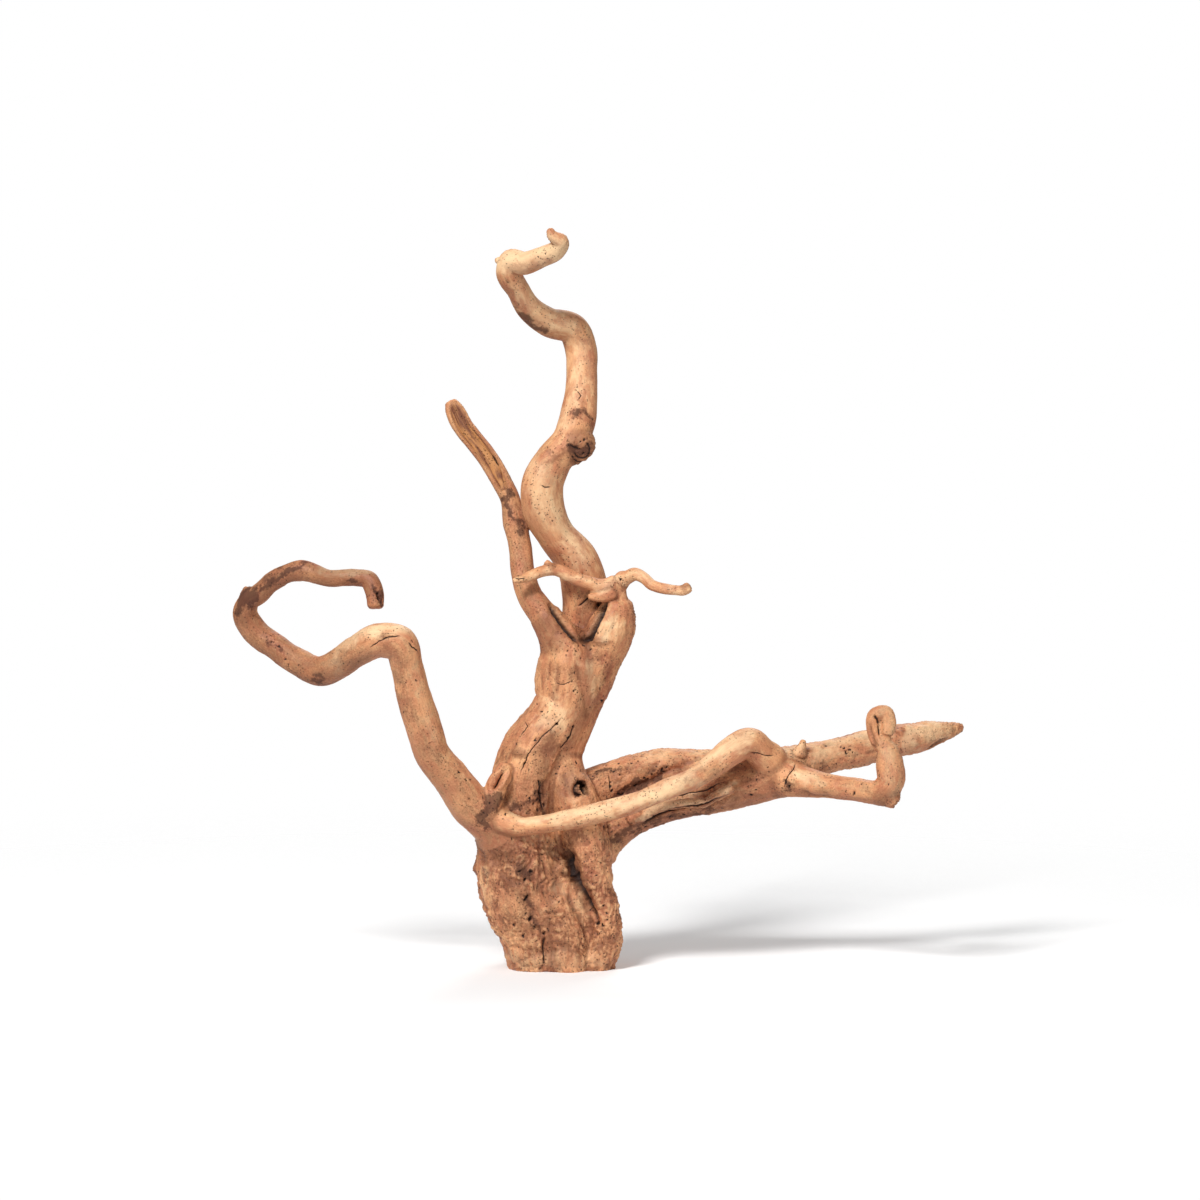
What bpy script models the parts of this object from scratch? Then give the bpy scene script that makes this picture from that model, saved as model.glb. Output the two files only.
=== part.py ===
"""A piece of twisted root driftwood, grown as one body of wood.

It is about 0.40 m tall and 0.40 m wide and stands on its sawn base. Metres, +Z up, +X to the right as seen
from the front, and the front faces -Y. The origin is the middle of the sawn base.

Every limb is a smooth tube through a few points of its centre line, and each point gives x, y, z and the
radius of the wood there. The tubes run into one another, are fused into one skin, hollowed where the wood
is split or rotten, and sawn flat at the bottom.
"""

import bmesh
import bpy
from mathutils import Matrix

OBJECT_NAME = "driftwood"

# Driving dimensions
SKIN_DETAIL = 0.0012        # finest step of the fused skin
SMOOTHING_ROUNDS = 3        # how often the skin's creases are eased
SMOOTHING_STRENGTH = 0.5    # how far each round moves a point towards its neighbours
TRIANGLE_SHARE = 0.050      # share of the fused skin's triangles that the finished body keeps
TUBE_SIDES_LEVEL = 3        # roundness of a limb
BURL_ROUNDNESS = 3          # times that a burl's faces are split
STEPS_BETWEEN_POINTS = 5    # smooth steps between two points of a centre line
SAW_HEIGHT = 0.0            # the base is sawn flat here
WELD_DISTANCE = 0.00001

# The stump: what is left of the old crown, sawn flat underneath
HEEL = [
    (0.0010, 0.0060, -0.0100, 0.0235),
    (0.0010, 0.0060, 0.0030, 0.0245),
    (0.0030, 0.0070, 0.0140, 0.0265),
    (0.0020, 0.0070, 0.0280, 0.0270),
    (-0.0020, 0.0070, 0.0450, 0.0260),
    (-0.0040, 0.0060, 0.0600, 0.0230),
]
LEFT_LOBE = [
    (-0.0085, -0.0050, -0.0080, 0.0180),
    (-0.0090, -0.0050, 0.0010, 0.0185),
    (-0.0110, -0.0060, 0.0110, 0.0190),
    (-0.0150, -0.0060, 0.0260, 0.0200),
    (-0.0195, -0.0060, 0.0400, 0.0228),
    (-0.0215, -0.0050, 0.0540, 0.0233),
    (-0.0215, -0.0040, 0.0700, 0.0210),
    (-0.0195, -0.0040, 0.0900, 0.0195),
    (-0.0165, -0.0050, 0.1075, 0.0188),
    (-0.0120, -0.0050, 0.1195, 0.0176),
    (-0.0025, -0.0040, 0.1335, 0.0155),
    (0.0040, -0.0030, 0.1450, 0.0159),
    (0.0050, -0.0030, 0.1580, 0.0168),
    (0.0050, -0.0040, 0.1700, 0.0136),
    (0.0005, -0.0050, 0.1820, 0.0095),
    (-0.0070, -0.0050, 0.1920, 0.0078),
]
RIGHT_LOBE = [
    (0.0000, 0.0000, 0.1100, 0.0110),
    (0.0015, -0.0020, 0.1180, 0.0116),
    (0.0062, -0.0030, 0.1320, 0.0122),
    (0.0100, -0.0030, 0.1430, 0.0130),
    (0.0152, -0.0020, 0.1560, 0.0137),
    (0.0213, -0.0020, 0.1690, 0.0129),
    (0.0283, -0.0030, 0.1835, 0.0124),
    (0.0312, -0.0040, 0.1915, 0.0095),
    (0.0322, -0.0050, 0.1990, 0.0055),
    (0.0318, -0.0060, 0.2055, 0.0055),
    (0.0322, -0.0070, 0.2105, 0.0062),
]
RIGHT_COLUMN = [
    (0.0000, -0.0030, 0.1180, 0.0105),
    (0.0040, -0.0060, 0.1040, 0.0115),
    (0.0095, -0.0090, 0.0880, 0.0130),
    (0.0140, -0.0110, 0.0720, 0.0127),
    (0.0168, -0.0120, 0.0580, 0.0114),
    (0.0195, -0.0120, 0.0440, 0.0101),
    (0.0240, -0.0100, 0.0330, 0.0098),
    (0.0262, -0.0100, 0.0220, 0.0090),
    (0.0245, -0.0090, 0.0120, 0.0105),
    (0.0185, -0.0080, 0.0000, 0.0110),
    (0.0175, -0.0080, -0.0080, 0.0110),
]
FRONT_LOBE = [
    (0.0040, -0.0130, -0.0080, 0.0110),
    (0.0040, -0.0140, 0.0040, 0.0115),
    (0.0040, -0.0150, 0.0160, 0.0110),
    (0.0010, -0.0160, 0.0280, 0.0095),
    (-0.0030, -0.0150, 0.0400, 0.0080),
]

# The tall crooked limb that climbs out of the notch at the top of the trunk
CROOKED_LIMB = [
    (-0.0020, 0.0080, 0.0400, 0.0230),
    (-0.0040, 0.0080, 0.0850, 0.0170),
    (-0.0020, 0.0100, 0.1150, 0.0130),
    (0.0075, 0.0120, 0.1450, 0.0145),
    (0.0140, 0.0140, 0.1720, 0.0145),
    (0.0150, 0.0120, 0.2000, 0.0130),
    (0.0098, 0.0080, 0.2200, 0.0117),
    (-0.0012, 0.0030, 0.2345, 0.0102),
    (-0.0080, -0.0020, 0.2500, 0.0113),
    (-0.0083, -0.0040, 0.2625, 0.0112),
    (-0.0030, -0.0040, 0.2740, 0.0102),
    (0.0060, -0.0010, 0.2855, 0.0096),
    (0.0100, 0.0040, 0.2950, 0.0103),
    (0.0120, 0.0100, 0.3080, 0.0092),
    (0.0128, 0.0160, 0.3218, 0.0084),
    (0.0122, 0.0190, 0.3343, 0.0084),
    (0.0082, 0.0170, 0.3446, 0.0081),
    (-0.0050, 0.0100, 0.3489, 0.0074),
    (-0.0152, 0.0020, 0.3563, 0.0066),
    (-0.0212, -0.0060, 0.3663, 0.0062),
    (-0.0262, -0.0120, 0.3768, 0.0073),
    (-0.0252, -0.0140, 0.3812, 0.0072),
    (-0.0175, -0.0200, 0.3812, 0.0066),
    (-0.0090, -0.0270, 0.3843, 0.0060),
    (-0.0008, -0.0330, 0.3882, 0.0055),
    (0.0018, -0.0370, 0.3923, 0.0046),
    (-0.0028, -0.0400, 0.3962, 0.0030),
    (-0.0040, -0.0410, 0.3992, 0.0020),
]

# The spur with the split end, left of the crooked limb
SPUR = [
    (0.0040, -0.0060, 0.1700, 0.0095),
    (-0.0068, -0.0050, 0.1900, 0.0079),
    (-0.0155, -0.0020, 0.2030, 0.0070),
    (-0.0190, 0.0010, 0.2150, 0.0065),
    (-0.0205, 0.0040, 0.2280, 0.0063),
    (-0.0235, 0.0060, 0.2400, 0.0063),
    (-0.0255, 0.0080, 0.2530, 0.0056),
    (-0.0302, 0.0100, 0.2627, 0.0057),
    (-0.0368, 0.0120, 0.2738, 0.0056),
    (-0.0439, 0.0140, 0.2832, 0.0056),
    (-0.0515, 0.0160, 0.2926, 0.0055),
    (-0.0557, 0.0180, 0.3007, 0.0048),
    (-0.0582, 0.0200, 0.3057, 0.0024),
]

# The limb that leaves the stump on the left and ends in an open hook
HOOK_LIMB = [
    (-0.0220, -0.0080, 0.0620, 0.0150),
    (-0.0340, -0.0140, 0.0777, 0.0123),
    (-0.0473, -0.0230, 0.0912, 0.0112),
    (-0.0559, -0.0310, 0.1042, 0.0101),
    (-0.0676, -0.0410, 0.1213, 0.0093),
    (-0.0708, -0.0460, 0.1331, 0.0095),
    (-0.0750, -0.0500, 0.1462, 0.0095),
    (-0.0800, -0.0560, 0.1683, 0.0086),
    (-0.0839, -0.0600, 0.1808, 0.0094),
    (-0.0934, -0.0590, 0.1822, 0.0093),
    (-0.1064, -0.0520, 0.1760, 0.0083),
    (-0.1165, -0.0450, 0.1683, 0.0080),
    (-0.1255, -0.0390, 0.1637, 0.0078),
    (-0.1379, -0.0310, 0.1677, 0.0073),
    (-0.1509, -0.0250, 0.1759, 0.0070),
    (-0.1632, -0.0220, 0.1855, 0.0070),
    (-0.1671, -0.0240, 0.1932, 0.0068),
    (-0.1643, -0.0290, 0.2010, 0.0056),
    (-0.1583, -0.0340, 0.2055, 0.0055),
    (-0.1518, -0.0390, 0.2115, 0.0051),
    (-0.1360, -0.0450, 0.2179, 0.0054),
    (-0.1213, -0.0470, 0.2143, 0.0045),
    (-0.1062, -0.0470, 0.2145, 0.0046),
    (-0.1002, -0.0490, 0.2136, 0.0048),
    (-0.0968, -0.0520, 0.2065, 0.0049),
    (-0.0963, -0.0540, 0.1985, 0.0044),
]

# The thin limb that runs across the front and joins the thick right limb at its knee
FRONT_LIMB = [
    (-0.0320, -0.0160, 0.0880, 0.0060),
    (-0.0310, -0.0240, 0.0830, 0.0055),
    (-0.0200, -0.0280, 0.0795, 0.0050),
    (-0.0090, -0.0285, 0.0805, 0.0049),
    (0.0022, -0.0280, 0.0825, 0.0051),
    (0.0130, -0.0275, 0.0845, 0.0054),
    (0.0240, -0.0290, 0.0875, 0.0056),
    (0.0350, -0.0300, 0.0905, 0.0058),
    (0.0455, -0.0300, 0.0940, 0.0054),
    (0.0580, -0.0290, 0.0995, 0.0057),
    (0.0715, -0.0265, 0.1045, 0.0060),
    (0.0835, -0.0225, 0.1120, 0.0069),
    (0.0940, -0.0185, 0.1195, 0.0078),
    (0.1030, -0.0145, 0.1232, 0.0080),
    (0.1105, -0.0100, 0.1165, 0.0086),
    (0.1190, -0.0040, 0.1085, 0.0110),
]

# The thick right limb: two lobes grown together, then a long broken spike
THICK_UPPER_LOBE = [
    (0.0020, 0.0060, 0.0840, 0.0150),
    (0.0195, 0.0100, 0.0945, 0.0128),
    (0.0365, 0.0130, 0.1005, 0.0123),
    (0.0570, 0.0140, 0.1060, 0.0112),
    (0.0765, 0.0120, 0.1060, 0.0112),
    (0.0985, 0.0080, 0.1060, 0.0113),
    (0.1215, 0.0050, 0.1075, 0.0120),
    (0.1432, 0.0120, 0.1122, 0.0089),
    (0.1651, 0.0220, 0.1163, 0.0093),
    (0.1820, 0.0310, 0.1194, 0.0089),
    (0.1954, 0.0380, 0.1208, 0.0086),
    (0.2095, 0.0460, 0.1236, 0.0060),
    (0.2220, 0.0530, 0.1255, 0.0024),
]
THICK_LOWER_LOBE = [
    (0.0160, 0.0020, 0.0560, 0.0120),
    (0.0270, 0.0020, 0.0700, 0.0105),
    (0.0375, 0.0010, 0.0795, 0.0098),
    (0.0500, 0.0000, 0.0865, 0.0102),
    (0.0660, 0.0000, 0.0910, 0.0103),
    (0.0850, 0.0000, 0.0950, 0.0108),
    (0.1040, 0.0000, 0.0990, 0.0108),
    (0.1215, 0.0010, 0.1040, 0.0112),
]
LOWER_RIGHT_LIMB = [
    (0.1190, -0.0010, 0.1040, 0.0110),
    (0.1334, -0.0090, 0.1013, 0.0082),
    (0.1491, -0.0200, 0.1000, 0.0063),
    (0.1623, -0.0280, 0.0990, 0.0063),
    (0.1735, -0.0340, 0.0995, 0.0068),
    (0.1780, -0.0360, 0.1045, 0.0074),
    (0.1777, -0.0360, 0.1130, 0.0077),
    (0.1765, -0.0340, 0.1208, 0.0060),
    (0.1716, -0.0320, 0.1257, 0.0046),
    (0.1692, -0.0310, 0.1326, 0.0040),
    (0.1703, -0.0310, 0.1394, 0.0044),
    (0.1756, -0.0320, 0.1410, 0.0038),
    (0.1776, -0.0330, 0.1356, 0.0034),
    (0.1761, -0.0340, 0.1291, 0.0030),
]

# Twigs at the fork, growing from the knob on the right shoulder
TWIG_LEFT = [
    (0.0320, -0.0070, 0.2090, 0.0048),
    (0.0243, -0.0080, 0.2073, 0.0043),
    (0.0150, -0.0090, 0.2095, 0.0040),
    (0.0065, -0.0090, 0.2128, 0.0037),
    (-0.0005, -0.0090, 0.2158, 0.0032),
    (-0.0070, -0.0110, 0.2157, 0.0030),
    (-0.0140, -0.0140, 0.2135, 0.0027),
    (-0.0200, -0.0170, 0.2115, 0.0022),
    (-0.0238, -0.0190, 0.2112, 0.0014),
]
TWIG_RIGHT = [
    (0.0335, -0.0070, 0.2105, 0.0050),
    (0.0370, -0.0100, 0.2122, 0.0040),
    (0.0415, -0.0130, 0.2142, 0.0037),
    (0.0460, -0.0160, 0.2125, 0.0032),
    (0.0508, -0.0200, 0.2087, 0.0030),
    (0.0562, -0.0230, 0.2070, 0.0028),
    (0.0626, -0.0260, 0.2064, 0.0026),
    (0.0680, -0.0280, 0.2065, 0.0025),
    (0.0712, -0.0300, 0.2074, 0.0016),
]
TWIG_PRONG = [
    (0.0680, -0.0280, 0.2069, 0.0020),
    (0.0696, -0.0285, 0.2103, 0.0013),
]
TWIG_STUB = [
    (0.0300, -0.0080, 0.2050, 0.0048),
    (0.0245, -0.0100, 0.2022, 0.0036),
    (0.0165, -0.0120, 0.2018, 0.0016),
]
TWIG_BUD = [
    (-0.0030, -0.0095, 0.2165, 0.0026),
    (-0.0066, -0.0095, 0.2212, 0.0014),
]

# A small twig that lies along the front of the thick right limb
CLINGING_TWIG = [
    (0.0385, -0.0060, 0.0810, 0.0035),
    (0.0555, -0.0110, 0.0885, 0.0027),
    (0.0685, -0.0125, 0.0910, 0.0026),
    (0.0800, -0.0125, 0.0918, 0.0024),
    (0.0875, -0.0130, 0.0960, 0.0023),
    (0.0945, -0.0130, 0.0990, 0.0018),
]

# Broken stubs, thorns and burls
FRONT_STUB = [
    (-0.0385, -0.0250, 0.0835, 0.0050),
    (-0.0355, -0.0255, 0.0930, 0.0056),
    (-0.0315, -0.0235, 0.1040, 0.0055),
    (-0.0270, -0.0190, 0.1110, 0.0045),
]
CORNER_TOE = [
    (0.1735, -0.0340, 0.0995, 0.0068),
    (0.1808, -0.0360, 0.0927, 0.0038),
]
TOP_STUB = [(-0.0290, -0.0060, 0.3810, 0.0032), (-0.0332, -0.0060, 0.3830, 0.0014)]
KNOT_BURL = [
    (0.0090, -0.0030, 0.2805, 0.0070),
    (0.0120, -0.0045, 0.2812, 0.0078),
    (0.0135, -0.0020, 0.2880, 0.0060),
]
SHOULDER_THORN = [(0.1300, -0.0020, 0.1150, 0.0040), (0.1328, -0.0030, 0.1238, 0.0012)]
STUMP_THORN = [(-0.0420, -0.0040, 0.0540, 0.0036), (-0.0462, -0.0040, 0.0545, 0.0012)]
STUMP_BURL = [(-0.0380, -0.0060, 0.0430, 0.0060), (-0.0410, -0.0060, 0.0425, 0.0040)]
BARK_SPUR = [
    (-0.1658, -0.0290, 0.2025, 0.0042),
    (-0.1658, -0.0290, 0.2087, 0.0017),
]

# The far side: two ribs that climb the trunk and a short broken root
BACK_LEFT_RIB = [
    (-0.0140, 0.0170, 0.0040, 0.0120),
    (-0.0190, 0.0170, 0.0280, 0.0135),
    (-0.0160, 0.0190, 0.0580, 0.0120),
    (-0.0090, 0.0190, 0.0900, 0.0105),
    (-0.0020, 0.0180, 0.1180, 0.0090),
    (0.0060, 0.0210, 0.1450, 0.0085),
    (0.0120, 0.0220, 0.1680, 0.0070),
]
BACK_RIGHT_RIB = [
    (0.0170, 0.0150, 0.0040, 0.0120),
    (0.0175, 0.0180, 0.0280, 0.0115),
    (0.0110, 0.0220, 0.0520, 0.0105),
    (0.0030, 0.0210, 0.0780, 0.0100),
    (0.0060, 0.0140, 0.0980, 0.0080),
]
BACK_ROOT = [
    (0.0020, 0.0220, 0.0480, 0.0090),
    (-0.0010, 0.0350, 0.0580, 0.0070),
    (-0.0030, 0.0430, 0.0680, 0.0056),
]

# Burls: round lumps of overgrown wood, each a centre and a radius
BURLS = [
    (-0.0240, -0.0210, 0.0600, 0.0085),
    (-0.0170, -0.0225, 0.0430, 0.0080),
    (-0.0130, -0.0210, 0.0260, 0.0085),
    (-0.0030, -0.0200, 0.0330, 0.0075),
    (0.0010, -0.0195, 0.0170, 0.0085),
    (0.0040, -0.0180, 0.0540, 0.0040),
    (-0.0330, -0.0120, 0.0480, 0.0090),
    (-0.0225, -0.0080, 0.0180, 0.0085),
    (-0.0290, 0.0100, 0.0500, 0.0110),
    (0.0060, 0.0270, 0.0280, 0.0090),
    (-0.0060, 0.0260, 0.0160, 0.0085),
    (-0.0200, -0.0190, 0.1180, 0.0060),
    (0.0230, -0.0130, 0.1780, 0.0060),
    (0.0560, 0.0220, 0.1000, 0.0060),
    (0.1180, 0.0080, 0.1000, 0.0090),
]

WOOD = [
    HEEL, FRONT_LOBE, BACK_LEFT_RIB, BACK_RIGHT_RIB, BACK_ROOT, LEFT_LOBE, RIGHT_LOBE, RIGHT_COLUMN, CROOKED_LIMB, SPUR, HOOK_LIMB, FRONT_LIMB,
    THICK_UPPER_LOBE, THICK_LOWER_LOBE, LOWER_RIGHT_LIMB, TWIG_LEFT, TWIG_RIGHT, TWIG_PRONG,
    TWIG_STUB, TWIG_BUD, CLINGING_TWIG, FRONT_STUB, CORNER_TOE, TOP_STUB, KNOT_BURL,
    SHOULDER_THORN, STUMP_THORN, STUMP_BURL, BARK_SPUR,
]

# What rot and splitting took away: each is a path of the hollow's middle and its radius
SPLIT_FACE = [
    (-0.0290, 0.0020, 0.2590, 0.0030),
    (-0.0362, 0.0035, 0.2735, 0.0058),
    (-0.0430, 0.0055, 0.2830, 0.0062),
    (-0.0505, 0.0075, 0.2925, 0.0060),
    (-0.0555, 0.0100, 0.3030, 0.0056),
    (-0.0590, 0.0110, 0.3090, 0.0050),
]
NOTCH_HOLLOW = [
    (0.0100, -0.0190, 0.1960, 0.0045),
    (0.0112, -0.0120, 0.1840, 0.0052),
    (0.0122, -0.0040, 0.1760, 0.0046),
]
COLUMN_HOLE = [
    (0.0132, -0.0220, 0.0985, 0.0034),
    (0.0140, 0.0030, 0.0975, 0.0032),
]
ROTTEN_KNOT = [
    (0.0140, -0.0130, 0.2802, 0.0030),
    (0.0120, -0.0060, 0.2810, 0.0024),
]
HOLLOWS = [SPLIT_FACE, NOTCH_HOLLOW, COLUMN_HOLE, ROTTEN_KNOT]

WOOD_COLOUR = (0.62, 0.36, 0.21, 1.0)
WOOD_ROUGHNESS = 0.6


def clear_scene():
    for thing in list(bpy.data.objects):
        bpy.data.objects.remove(thing, do_unlink=True)


def new_collection(name):
    collection = bpy.data.collections.new(name)
    bpy.context.scene.collection.children.link(collection)
    return collection


def wood_material():
    material = bpy.data.materials.new("bare_wood")
    material.use_nodes = True
    shader = material.node_tree.nodes["Principled BSDF"]
    shader.inputs["Base Color"].default_value = WOOD_COLOUR
    shader.inputs["Roughness"].default_value = WOOD_ROUGHNESS
    shader.inputs["Metallic"].default_value = 0.0
    return material


def tubes(name, paths, collection):
    """One mesh that holds a smooth round tube, with closed ends, along each path."""
    curve = bpy.data.curves.new(name, "CURVE")
    curve.dimensions = "3D"
    curve.bevel_depth = 1.0  # so that a point's radius is the wood's radius in metres
    curve.bevel_resolution = TUBE_SIDES_LEVEL
    curve.use_fill_caps = True
    curve.resolution_u = STEPS_BETWEEN_POINTS
    for path in paths:
        spline = curve.splines.new("BEZIER")
        spline.bezier_points.add(len(path) - 1)
        spline.radius_interpolation = "CARDINAL"
        for point, (x, y, z, radius) in zip(spline.bezier_points, path):
            point.co = (x, y, z)
            point.radius = radius
            point.handle_left_type = "AUTO"
            point.handle_right_type = "AUTO"
    guide = bpy.data.objects.new(name + "_curve", curve)
    collection.objects.link(guide)
    graph = bpy.context.evaluated_depsgraph_get()
    mesh = bpy.data.meshes.new_from_object(guide.evaluated_get(graph))
    body = bpy.data.objects.new(name, mesh)
    body.matrix_world = guide.matrix_world
    collection.objects.link(body)
    bpy.data.objects.remove(guide, do_unlink=True)
    bpy.data.curves.remove(curve)
    weld(mesh)
    return body


def add_burls(body):
    """Set a round lump into the body's mesh for each burl."""
    shape = bmesh.new()
    shape.from_mesh(body.data)
    for x, y, z, radius in BURLS:
        place = Matrix.Translation((x, y, z))
        bmesh.ops.create_icosphere(shape, subdivisions=BURL_ROUNDNESS, radius=radius, matrix=place)
    shape.to_mesh(body.data)
    shape.free()


def weld(mesh):
    shape = bmesh.new()
    shape.from_mesh(mesh)
    bmesh.ops.remove_doubles(shape, verts=shape.verts, dist=WELD_DISTANCE)
    bmesh.ops.recalc_face_normals(shape, faces=shape.faces)
    shape.to_mesh(mesh)
    shape.free()


def apply_modifiers(body):
    """Keep the shape that the body's modifiers give, and drop the modifiers."""
    graph = bpy.context.evaluated_depsgraph_get()
    finished = bpy.data.meshes.new_from_object(body.evaluated_get(graph))
    body.modifiers.clear()
    body.data = finished


def fuse(body):
    """Turn tubes that run into one another into one closed skin."""
    skin = body.modifiers.new("Fused skin", "REMESH")
    skin.mode = "VOXEL"
    skin.voxel_size = SKIN_DETAIL
    apply_modifiers(body)


def hollow_out(body, cutter):
    cut = body.modifiers.new("Split and rotten wood", "BOOLEAN")
    cut.operation = "DIFFERENCE"
    cut.solver = "EXACT"
    cut.object = cutter
    apply_modifiers(body)


def ease_and_thin(body):
    """Soften the creases between limbs, then keep only as many triangles as the shape needs."""
    ease = body.modifiers.new("Eased creases", "SMOOTH")
    ease.factor = SMOOTHING_STRENGTH
    ease.iterations = SMOOTHING_ROUNDS
    thin = body.modifiers.new("Fewer triangles", "DECIMATE")
    thin.ratio = TRIANGLE_SHARE
    thin.use_collapse_triangulate = True
    apply_modifiers(body)


def saw_base(body):
    """Cut the stump off flat and close the cut."""
    shape = bmesh.new()
    shape.from_mesh(body.data)
    everything = shape.verts[:] + shape.edges[:] + shape.faces[:]
    bmesh.ops.bisect_plane(
        shape,
        geom=everything,
        plane_co=(0.0, 0.0, SAW_HEIGHT),
        plane_no=(0.0, 0.0, -1.0),
        clear_outer=True,
        dist=WELD_DISTANCE,
    )
    rim = [edge for edge in shape.edges if edge.is_boundary]
    cut_face = bmesh.ops.holes_fill(shape, edges=rim)["faces"]
    bmesh.ops.triangulate(shape, faces=cut_face)
    bmesh.ops.recalc_face_normals(shape, faces=shape.faces)
    shape.to_mesh(body.data)
    shape.free()


def main():
    clear_scene()
    parts = new_collection(OBJECT_NAME)
    cutters = new_collection("cutters")
    body = tubes(OBJECT_NAME, WOOD, parts)
    add_burls(body)
    fuse(body)
    cutter = tubes("hollows", HOLLOWS, cutters)
    cutter.hide_render = True
    cutter.display_type = "WIRE"
    hollow_out(body, cutter)
    fuse(body)
    ease_and_thin(body)
    saw_base(body)
    body.data.shade_smooth()
    body.data.materials.clear()
    body.data.materials.append(wood_material())


main()
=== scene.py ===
# %% [markdown]
# # A piece of twisted root driftwood
# The real object is one grown piece: a stump sawn off flat, a twisted trunk, and limbs that wind out of
# it. Bark and soft wood have rotted away, and what is left is hard tan root wood with pits, cracks and a
# few bark patches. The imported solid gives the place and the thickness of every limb. This file grows the
# same wood again as a fine skin, with its grain, knots, splits and colours.

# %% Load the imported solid
import math

import bmesh
import bpy
import numpy as np
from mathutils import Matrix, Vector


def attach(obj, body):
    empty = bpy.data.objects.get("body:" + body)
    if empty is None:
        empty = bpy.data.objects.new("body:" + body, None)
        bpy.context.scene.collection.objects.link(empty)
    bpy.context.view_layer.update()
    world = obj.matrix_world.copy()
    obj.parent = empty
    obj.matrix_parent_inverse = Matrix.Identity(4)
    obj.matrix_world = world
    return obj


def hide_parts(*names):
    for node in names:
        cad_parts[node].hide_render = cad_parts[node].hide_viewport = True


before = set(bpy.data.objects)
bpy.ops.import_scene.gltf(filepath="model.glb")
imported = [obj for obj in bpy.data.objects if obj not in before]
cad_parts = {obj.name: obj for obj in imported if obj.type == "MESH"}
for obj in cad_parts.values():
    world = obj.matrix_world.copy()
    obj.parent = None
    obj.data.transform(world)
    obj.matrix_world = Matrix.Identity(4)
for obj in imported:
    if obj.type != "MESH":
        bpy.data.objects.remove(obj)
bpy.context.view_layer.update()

# %% [markdown]
# ## The camera
# The photograph was taken from almost level, from far enough away that near and far limbs look alike. A
# long lens three metres away gives the same view. The lens follows from how wide the picture is at the
# wood.

# %% Set the camera
PICTURE_SIDE = 1200            # picture points from edge to edge
POINT_SIZE = 0.00054           # metres of wood that one picture point shows
CAMERA_AIM = (0.0227, 0.0, 0.1993)
CAMERA_DISTANCE = 3.0
CAMERA_LIFT = math.radians(4.0)
SENSOR = 36.0

camera = bpy.data.objects.new("camera", bpy.data.cameras.new("camera"))
bpy.context.scene.collection.objects.link(camera)
back = np.array((0.0, -math.cos(CAMERA_LIFT), math.sin(CAMERA_LIFT)))
camera.location = np.array(CAMERA_AIM) + CAMERA_DISTANCE * back
camera.rotation_euler = (math.pi / 2 - CAMERA_LIFT, 0.0, 0.0)
camera.data.sensor_width = SENSOR
camera.data.lens = SENSOR * CAMERA_DISTANCE / (PICTURE_SIDE * POINT_SIZE)
bpy.context.scene.camera = camera
print("lens", round(camera.data.lens, 1), "mm")

# %% [markdown]
# ## The studio
# The wood stands on a plain white floor that fades into a white background, so that there is no horizon
# from any side. A large soft lamp stands over the left shoulder of the camera, where the photograph's
# highlights come from, with a weaker one on the right and one behind. The air gives the rest of the
# light, and a white dome that gives none is what the camera sees behind the wood.

# %% Make the floor
FLOOR_RADIUS = 2.6
FLOOR_FIRST_RING = 0.2
FLOOR_FADE = (0.16, 0.90)      # radius where the floor starts to fade, and where it is gone
FLOOR_SIDES = 96
FLOOR_RINGS = 12
FLOOR_WHITE = (0.96, 0.96, 0.96, 1.0)


def grid_mesh(name, rings):
    """A mesh over a grid of points, rings by points round a ring, with each ring closed on itself."""
    rows, sides = rings.shape[:2]
    at = np.arange(rows * sides).reshape(rows, sides)
    here, there = at[:-1], at[1:]
    quads = np.stack([here, there, np.roll(there, -1, 1), np.roll(here, -1, 1)], axis=-1).reshape(-1, 4)
    mesh = bpy.data.meshes.new(name)
    middle = [np.arange(sides)[::-1].tolist()]
    mesh.from_pydata(rings.reshape(-1, 3).tolist(), [], quads.tolist() + middle)
    return mesh


def disc():
    """Rings about the Z axis in the plane of the floor, further and further out."""
    radius = np.linspace(FLOOR_FIRST_RING, FLOOR_RADIUS, FLOOR_RINGS)[:, None]
    angle = np.linspace(0.0, 2.0 * math.pi, FLOOR_SIDES, endpoint=False)
    level = np.zeros((FLOOR_RINGS, FLOOR_SIDES))
    return np.stack([radius * np.cos(angle), radius * np.sin(angle), level], axis=-1)


def floor_finish():
    """A pale dull surface that turns clear towards the rim, by its distance from the middle."""
    finish = bpy.data.materials.new("pale_floor")
    finish.use_nodes = True
    nodes, links = finish.node_tree.nodes, finish.node_tree.links
    shader = nodes["Principled BSDF"]
    shader.inputs["Base Color"].default_value = FLOOR_WHITE
    shader.inputs["Roughness"].default_value = 1.0
    shader.inputs["Specular IOR Level"].default_value = 0.0
    place = nodes.new("ShaderNodeTexCoord")
    far = nodes.new("ShaderNodeVectorMath")
    far.operation = "LENGTH"
    links.new(place.outputs["Object"], far.inputs[0])
    fade = nodes.new("ShaderNodeMapRange")
    fade.interpolation_type = "SMOOTHSTEP"
    fade.inputs["From Min"].default_value = FLOOR_FADE[1]
    fade.inputs["From Max"].default_value = FLOOR_FADE[0]
    links.new(far.outputs["Value"], fade.inputs["Value"])
    links.new(fade.outputs["Result"], shader.inputs["Alpha"])
    return finish


floor = bpy.data.objects.new("studio_floor", grid_mesh("studio_floor", disc()))
bpy.context.scene.collection.objects.link(floor)
floor.data.materials.append(floor_finish())
print("floor", FLOOR_RADIUS, "m in radius,", len(floor.data.polygons), "faces")

# %% Hang the lamps
WHITE, BLACK = (1.0, 1.0, 1.0, 1.0), (0.0, 0.0, 0.0, 1.0)
AIR_LIGHT = 0.26


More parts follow.
